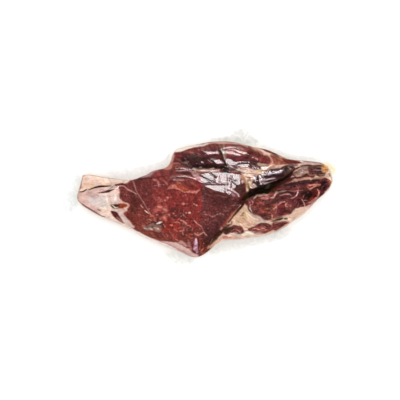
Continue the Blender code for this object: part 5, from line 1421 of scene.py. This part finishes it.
# where the film is too finely wrinkled, or too slack, to mirror the lamps: how much of its shine goes, loop
filmMatt = {
    "deep crease": (1.0, [
        (84, -10), (94, 9), (108, 18), (134, 25), (160, 38), (190, 55), (206, 60), (214, 50), (214, 34), (190, 22),
        (166, 6), (140, -3), (112, -10), (96, -18)]),
    "knob": (0.75, [(196, 48), (206, 62), (262, 70), (274, 56), (262, 44), (206, 40)]),
    "rump end": (0.7, [(200, 44), (270, 40), (280, 30), (240, -10), (214, -20), (200, 0)]),
    "shank": (0.8, [(-268, 56), (-150, 46), (-172, 28), (-164, 0), (-150, -30), (-148, -62), (-210, -54), (-268, -24)]),
    "web top": (0.8, [(38, 66), (56, 64), (88, 58), (88, 51.5), (66, 54), (38, 55)]),
    "rump lip": (0.7, [(138, 0), (142, 14), (160, 28), (180, 36), (196, 34), (184, 22), (164, 8), (146, -2)]),
    "top left": (0.9, [(-54, 98), (-30, 102), (-3, 101), (5, 97), (6, 88), (0, 84), (-20, 83), (-46, 80)]),
    "top left foot": (0.8, [(-46, 80), (-30, 82), (-16, 78), (-12, 68), (-24, 63), (-42, 68)]),
    "crescent": (0.25, [(0, 102), (38, 98), (40, 92), (14, 90), (2, 94)]),
}


def vacuumFilmMaterial():
    # clear polyamide and polyethylene film, 0.1 mm: nearly unseen but for sharp white shines on its taut creases
    material, tree = newMaterial("clearVacuumFilm")
    place = addNode(tree, "ShaderNodeTexCoord", {})
    # crinkles about 7 mm apart bend its mirrored lamps
    crinkle = addNode(tree, "ShaderNodeTexNoise", {"Scale": 140.0, "Detail": 3.0, "Roughness": 0.55},
                      {"Vector": place.outputs["Object"]})
    bump = addNode(tree, "ShaderNodeBump", {"Strength": 0.15, "Distance": 0.0004}, {"Height": crinkle.outputs["Fac"]})
    # gathered film is a little greyer, in streaks a few millimetres wide
    gathers = addNode(tree, "ShaderNodeTexNoise", {"Scale": 75.0, "Detail": 4.0, "Distortion": 1.5},
                      {"Vector": place.outputs["Object"]})
    haze = addNode(tree, "ShaderNodeAttribute", {"attribute_name": "haze"})
    spread = addNode(tree, "ShaderNodeMapRange", {"From Min": 0.3, "From Max": 0.65, "To Min": 1.0, "To Max": 0.4},
                     {"Value": gathers.outputs["Fac"]})
    amount = addNode(tree, "ShaderNodeMath", {"operation": "MULTIPLY"},
                     {0: haze.outputs["Alpha"], 1: spread.outputs["Result"]})
    tint = addNode(tree, "ShaderNodeMix", {"data_type": "RGBA", 6: (0.988, 0.988, 0.988, 1.0)},
                   {0: amount.outputs["Value"], 7: haze.outputs["Color"]})
    clear = addNode(tree, "ShaderNodeBsdfTransparent", {}, {"Color": tint.outputs[2]})
    shine = addNode(tree, "ShaderNodeBsdfGlossy", {"Roughness": 0.15}, {"Normal": bump.outputs["Normal"]})
    # flat film mirrors little, so the table stays white under the margin; creased film mirrors the lamps
    turned = addNode(tree, "ShaderNodeLayerWeight", {"Blend": 0.5}, {"Normal": bump.outputs["Normal"]})
    share = addNode(tree, "ShaderNodeMapRange", {"From Min": 0.022, "From Max": 0.048, "To Min": 0.03, "To Max": 0.11},
                    {"Value": turned.outputs["Facing"]})
    sheen = addNode(tree, "ShaderNodeAttribute", {"attribute_name": "sheen"})
    mirrored = addNode(tree, "ShaderNodeMath", {"operation": "MULTIPLY"},
                       {0: share.outputs["Result"], 1: sheen.outputs["Fac"]})
    mixed = addNode(tree, "ShaderNodeMixShader", {},
                    {0: mirrored.outputs["Value"], 1: clear.outputs["BSDF"], 2: shine.outputs["BSDF"]})
    addNode(tree, "ShaderNodeOutputMaterial", {}, {"Surface": mixed.outputs["Shader"]})
    return material


def makeMeat():
    bm = bmesh.new()
    columns, rows = ham["columns"], ham["rows"]
    laySheet(bm, columns, rows, np.column_stack([hamPlan - planCentre, leanUnderFilm]))
    # the fat below is pressed nearly flat; its slight hills also keep enough corners there to carry the paint
    rest = meatSettings["underLevel"] + meatSettings["underHills"] * hills(*hamPlan.T, meatSettings["underSize"], 70)
    below = laySheet(bm, columns, rows, np.column_stack([hamPlan - planCentre, np.maximum(fatLevel, rest)]))[0]
    bmesh.ops.reverse_faces(bm, faces=list({face for vert in below for face in vert.link_faces}))
    bmesh.ops.remove_doubles(bm, verts=bm.verts[:], dist=meatSettings["weld"] * mm)
    piece = finishMesh(bm, "hamMeat", curedHamMaterial())
    heights = np.array([vert.co.z for vert in piece.data.vertices]) / mm
    # the rim itself is kept, half a millimetre deep
    thinOut(piece, np.flatnonzero(heights < ham["equator"] - 0.5).tolist(), meatSettings["keptShare"])
    places = np.empty(len(piece.data.vertices) * 3)
    piece.data.vertices.foreach_get("co", places)
    paint = piece.data.attributes.new("paint", "FLOAT_COLOR", "POINT")
    paint.data.foreach_set("color", meatColours(places.reshape(-1, 3)).ravel())
    return piece


def rimIndex(columns, rows):
    # the grid's border in order, once round
    across = np.arange(rows + 1)
    along = np.arange(columns + 1) * (rows + 1)
    return np.concatenate([along[:-1], along[-1] + across[:-1], (along + rows)[:0:-1], across[:0:-1]])


def marginPlan(rim, share):
    # from the ham's edge to the film's own edge, along lines that fan out evenly
    loop = np.vstack([filmLoop, filmLoop[:1]])
    place = nearestOnPath(rim, loop)[2]
    count = len(filmLoop)
    steps = (np.diff(place, append=place[0]) + count / 2) % count - count / 2
    drift = np.cumsum(steps)
    turn = place[0] + np.concatenate([[0], drift[:-1]])
    direction = np.sign(drift[-1])
    turn = direction * np.maximum.accumulate(direction * turn)
    wide = film["marginEven"]
    padded = np.concatenate([turn[-wide:] - direction * count, turn, turn[:wide] + direction * count])
    turn = np.convolve(padded, np.ones(2 * wide + 1) / (2 * wide + 1), "valid") % count
    outer = np.stack([np.interp(turn, np.arange(count + 1), loop[:, i]) for i in (0, 1)], axis=-1)
    return rim + share * (outer - rim)


def makeFilm():
    columns, rows = film["columns"], film["rows"]
    u, v = [a.ravel() for a in np.meshgrid(
        evenSteps(columns, ham["length"], ham["crown"], alongProfile, film["closerAlong"]),
        evenSteps(rows, ham["width"], ham["crown"], acrossProfile, film["closerAcross"]), indexing="ij")]
    plan = planPoint(u, v)
    top = filmOver(u, v, plan, leanHeight(u, v, plan))[0] + reliefHeight(plan, filmPleats)
    bottom = np.maximum(fatHeight(u, v, plan) - film["gap"], film["lowest"])
    border = rimIndex(columns, rows)
    rim = plan[border]
    centre = plan.mean(0)
    wide = centre + (plan - centre) * film["grow"]
    around = np.concatenate([[0], np.cumsum(np.hypot(*np.diff(rim, axis=0).T))])
    shares = np.linspace(0, 1, film["marginRings"] + 1)[1:] ** film["marginCrowding"]
    bm = bmesh.new()
    onRim = bm.verts.layers.int.new("rim")
    order = np.zeros(len(plan), int)
    order[border] = np.arange(len(border)) + 1
    belowVerts = []
    for level, upwards in ((top, True), (bottom, False)):
        made, index = laySheet(bm, columns, rows, np.column_stack([wide - planCentre, level]))
        for vert, place in zip(made, order[index]):
            vert[onRim] = int(place)
        if not upwards:
            bmesh.ops.reverse_faces(bm, faces=list({face for vert in made for face in vert.link_faces}))
            belowVerts = made
        border = list(dict.fromkeys(e for vert in made if vert[onRim] for e in vert.link_edges if e.is_boundary))
        start = rim + (rim - centre) * (film["grow"] - 1)
        for share in shares:
            spot = marginPlan(start, share)
            wave = hills(around, np.full(len(rim), 30 * share), film["waveSize"], 200)
            wave += film["ruffle"] * hills(around, np.full(len(rim), 12 * share), film["ruffleSize"], 201)
            loss = film["marginWaveLoss"] * smoothRamp(share, film["marginWaveDown"], 1)
            swell = film["marginWave"] * smoothRamp(share, 0, film["marginWaveFull"]) * (1 - loss) * wave
            high = ham["equator"] + swell + (film["gap"] if upwards else -film["gap"]) * (1 - share)
            made = bmesh.ops.extrude_edge_only(bm, edges=border)["geom"]
            for vert in made:
                if isinstance(vert, bmesh.types.BMVert):
                    place = vert[onRim] - 1
                    vert.co = Vector((*(spot[place] - planCentre), high[place])) * mm
            border = [e for e in made if isinstance(e, bmesh.types.BMEdge) and e.is_boundary]
    hem = [vert for vert in bm.verts if vert.is_boundary]
    bmesh.ops.remove_doubles(bm, verts=hem, dist=0.01 * mm)
    hem = {vert for vert in hem if vert.is_valid}
    for e in {e for vert in hem for e in vert.link_edges}:
        e.smooth = not hem.issuperset(e.verts)
    bmesh.ops.recalc_face_normals(bm, faces=bm.faces[:])
    bm.verts.index_update()
    below = [vert.index for vert in belowVerts if vert.is_valid and not vert[onRim]]
    piece = finishMesh(bm, "shrinkFilm", vacuumFilmMaterial())
    thinOut(piece, below, film["keptShare"])
    places = np.array([vert.co[:2] for vert in piece.data.vertices]) / mm + planCentre
    haze = np.ones((len(places), 4))
    haze[:, 3] = 0
    for colour, strength, shape in filmHaze.values():
        cover = strength * (1 - smoothRamp(shapeEdge(places, shape), *film["hazeEdge"]))
        stronger = cover > haze[:, 3]
        haze[stronger, :3] = toLinear(hexColour(colour))
        haze[stronger, 3] = cover[stronger]
    piece.data.attributes.new("haze", "FLOAT_COLOR", "POINT").data.foreach_set("color", haze.ravel())
    matt = film["marginMatt"] * smoothRamp(shapeEdge(places, rim[::film["rimStep"]]), *film["marginMattEdge"])
    for strength, shape in filmMatt.values():
        cover = 1 - smoothRamp(shapeEdge(places, shape), -film["mattSoft"], film["mattSoft"])
        matt = np.maximum(matt, strength * cover)
    piece.data.attributes.new("sheen", "FLOAT", "POINT").data.foreach_set("value", 1 - matt)
    return piece


meat = makeMeat()
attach(meat, "root")
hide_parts("packed_ham")
print("meat:", len(meat.data.polygons), "faces")

wrap = makeFilm()
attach(wrap, "root")
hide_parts("packed_ham")
print("film:", len(wrap.data.polygons), "faces")

studio = {
    "floorSize": 16.0,
    "floorDrop": 0.0002,
    "floorColour": "fafafa",
    "world": 0.05,
    "cameraHeight": 4.0,
    "framedWidth": 0.84,  # at the height of the lean face
    "framedLevel": 0.045,
    "framedAside": -4.2,  # of the film's middle across the ham, in mm
    "sensor": 36.0,
}
# place, width, height, brightness as the ham sees it, and whether it lights the ham or only shines in the film
lamps = {
    "window card": ((0.0, 2.4, 2.45), 1.3, 0.85, 4.4, False),
    "window glow": ((0.0, 2.45, 2.5), 1.9, 1.4, 2.9, False),
    "sky panel": ((0.0, 0.1, 3.3), 3.4, 3.4, 3.55, True),
    "near fill": ((0.0, -3.2, 1.3), 3.0, 1.4, 3.4, True),
    "far fill": ((0.0, 3.2, 1.3), 3.0, 1.4, 3.4, True),
    "left fill": ((-3.2, 0.0, 1.3), 3.0, 1.4, 3.4, True),
    "right fill": ((3.2, 0.0, 1.3), 3.0, 1.4, 3.4, True),
}


def setStudio():
    scene = bpy.context.scene
    bm = bmesh.new()
    bmesh.ops.create_grid(bm, x_segments=1, y_segments=1, size=studio["floorSize"] / 2)
    bmesh.ops.translate(bm, verts=bm.verts[:], vec=(0, 0, -studio["floorDrop"]))
    material, tree = newMaterial("whitePaperSweep")
    shader = addNode(tree, "ShaderNodeBsdfPrincipled",
                     {"Base Color": (*toLinear(hexColour(studio["floorColour"])), 1), "Roughness": 0.9,
                      "Specular IOR Level": 0.1})
    addNode(tree, "ShaderNodeOutputMaterial", {}, {"Surface": shader.outputs["BSDF"]})
    floor = finishMesh(bm, "floor", material)
    floor.visible_glossy = False  # steep film would mirror it as a grey veil round the ham

    world = bpy.data.worlds.new("softStudio")
    world.use_nodes = True
    world.node_tree.nodes["Background"].inputs["Color"].default_value = (1, 1, 1, 1)
    world.node_tree.nodes["Background"].inputs["Strength"].default_value = studio["world"]
    scene.world = world

    for name, (place, width, height, brightness, lights) in lamps.items():
        light = bpy.data.lights.new(name, "AREA")
        light.shape = "RECTANGLE"
        light.size, light.size_y = width, height
        light.energy = brightness * math.pi * width * height
        lamp = bpy.data.objects.new(name, light)
        lamp.location = place
        lamp.rotation_euler = (-Vector(place)).to_track_quat("-Z", "Y").to_euler()
        lamp.visible_camera = False
        lamp.visible_diffuse = lights
        lamp.visible_glossy = not lights
        scene.collection.objects.link(lamp)

    camera = bpy.data.cameras.new("camera above")
    camera.sensor_width = studio["sensor"]
    camera.lens = studio["sensor"] * (studio["cameraHeight"] - studio["framedLevel"]) / studio["framedWidth"]
    camera.clip_end = 50.0
    viewer = bpy.data.objects.new("camera above", camera)
    viewer.location = (-planCentre[0] * mm, (studio["framedAside"] - planCentre[1]) * mm, studio["cameraHeight"])
    scene.collection.objects.link(viewer)
    scene.camera = viewer
    scene.view_settings.view_transform = "Standard"


setStudio()
print("studio set")
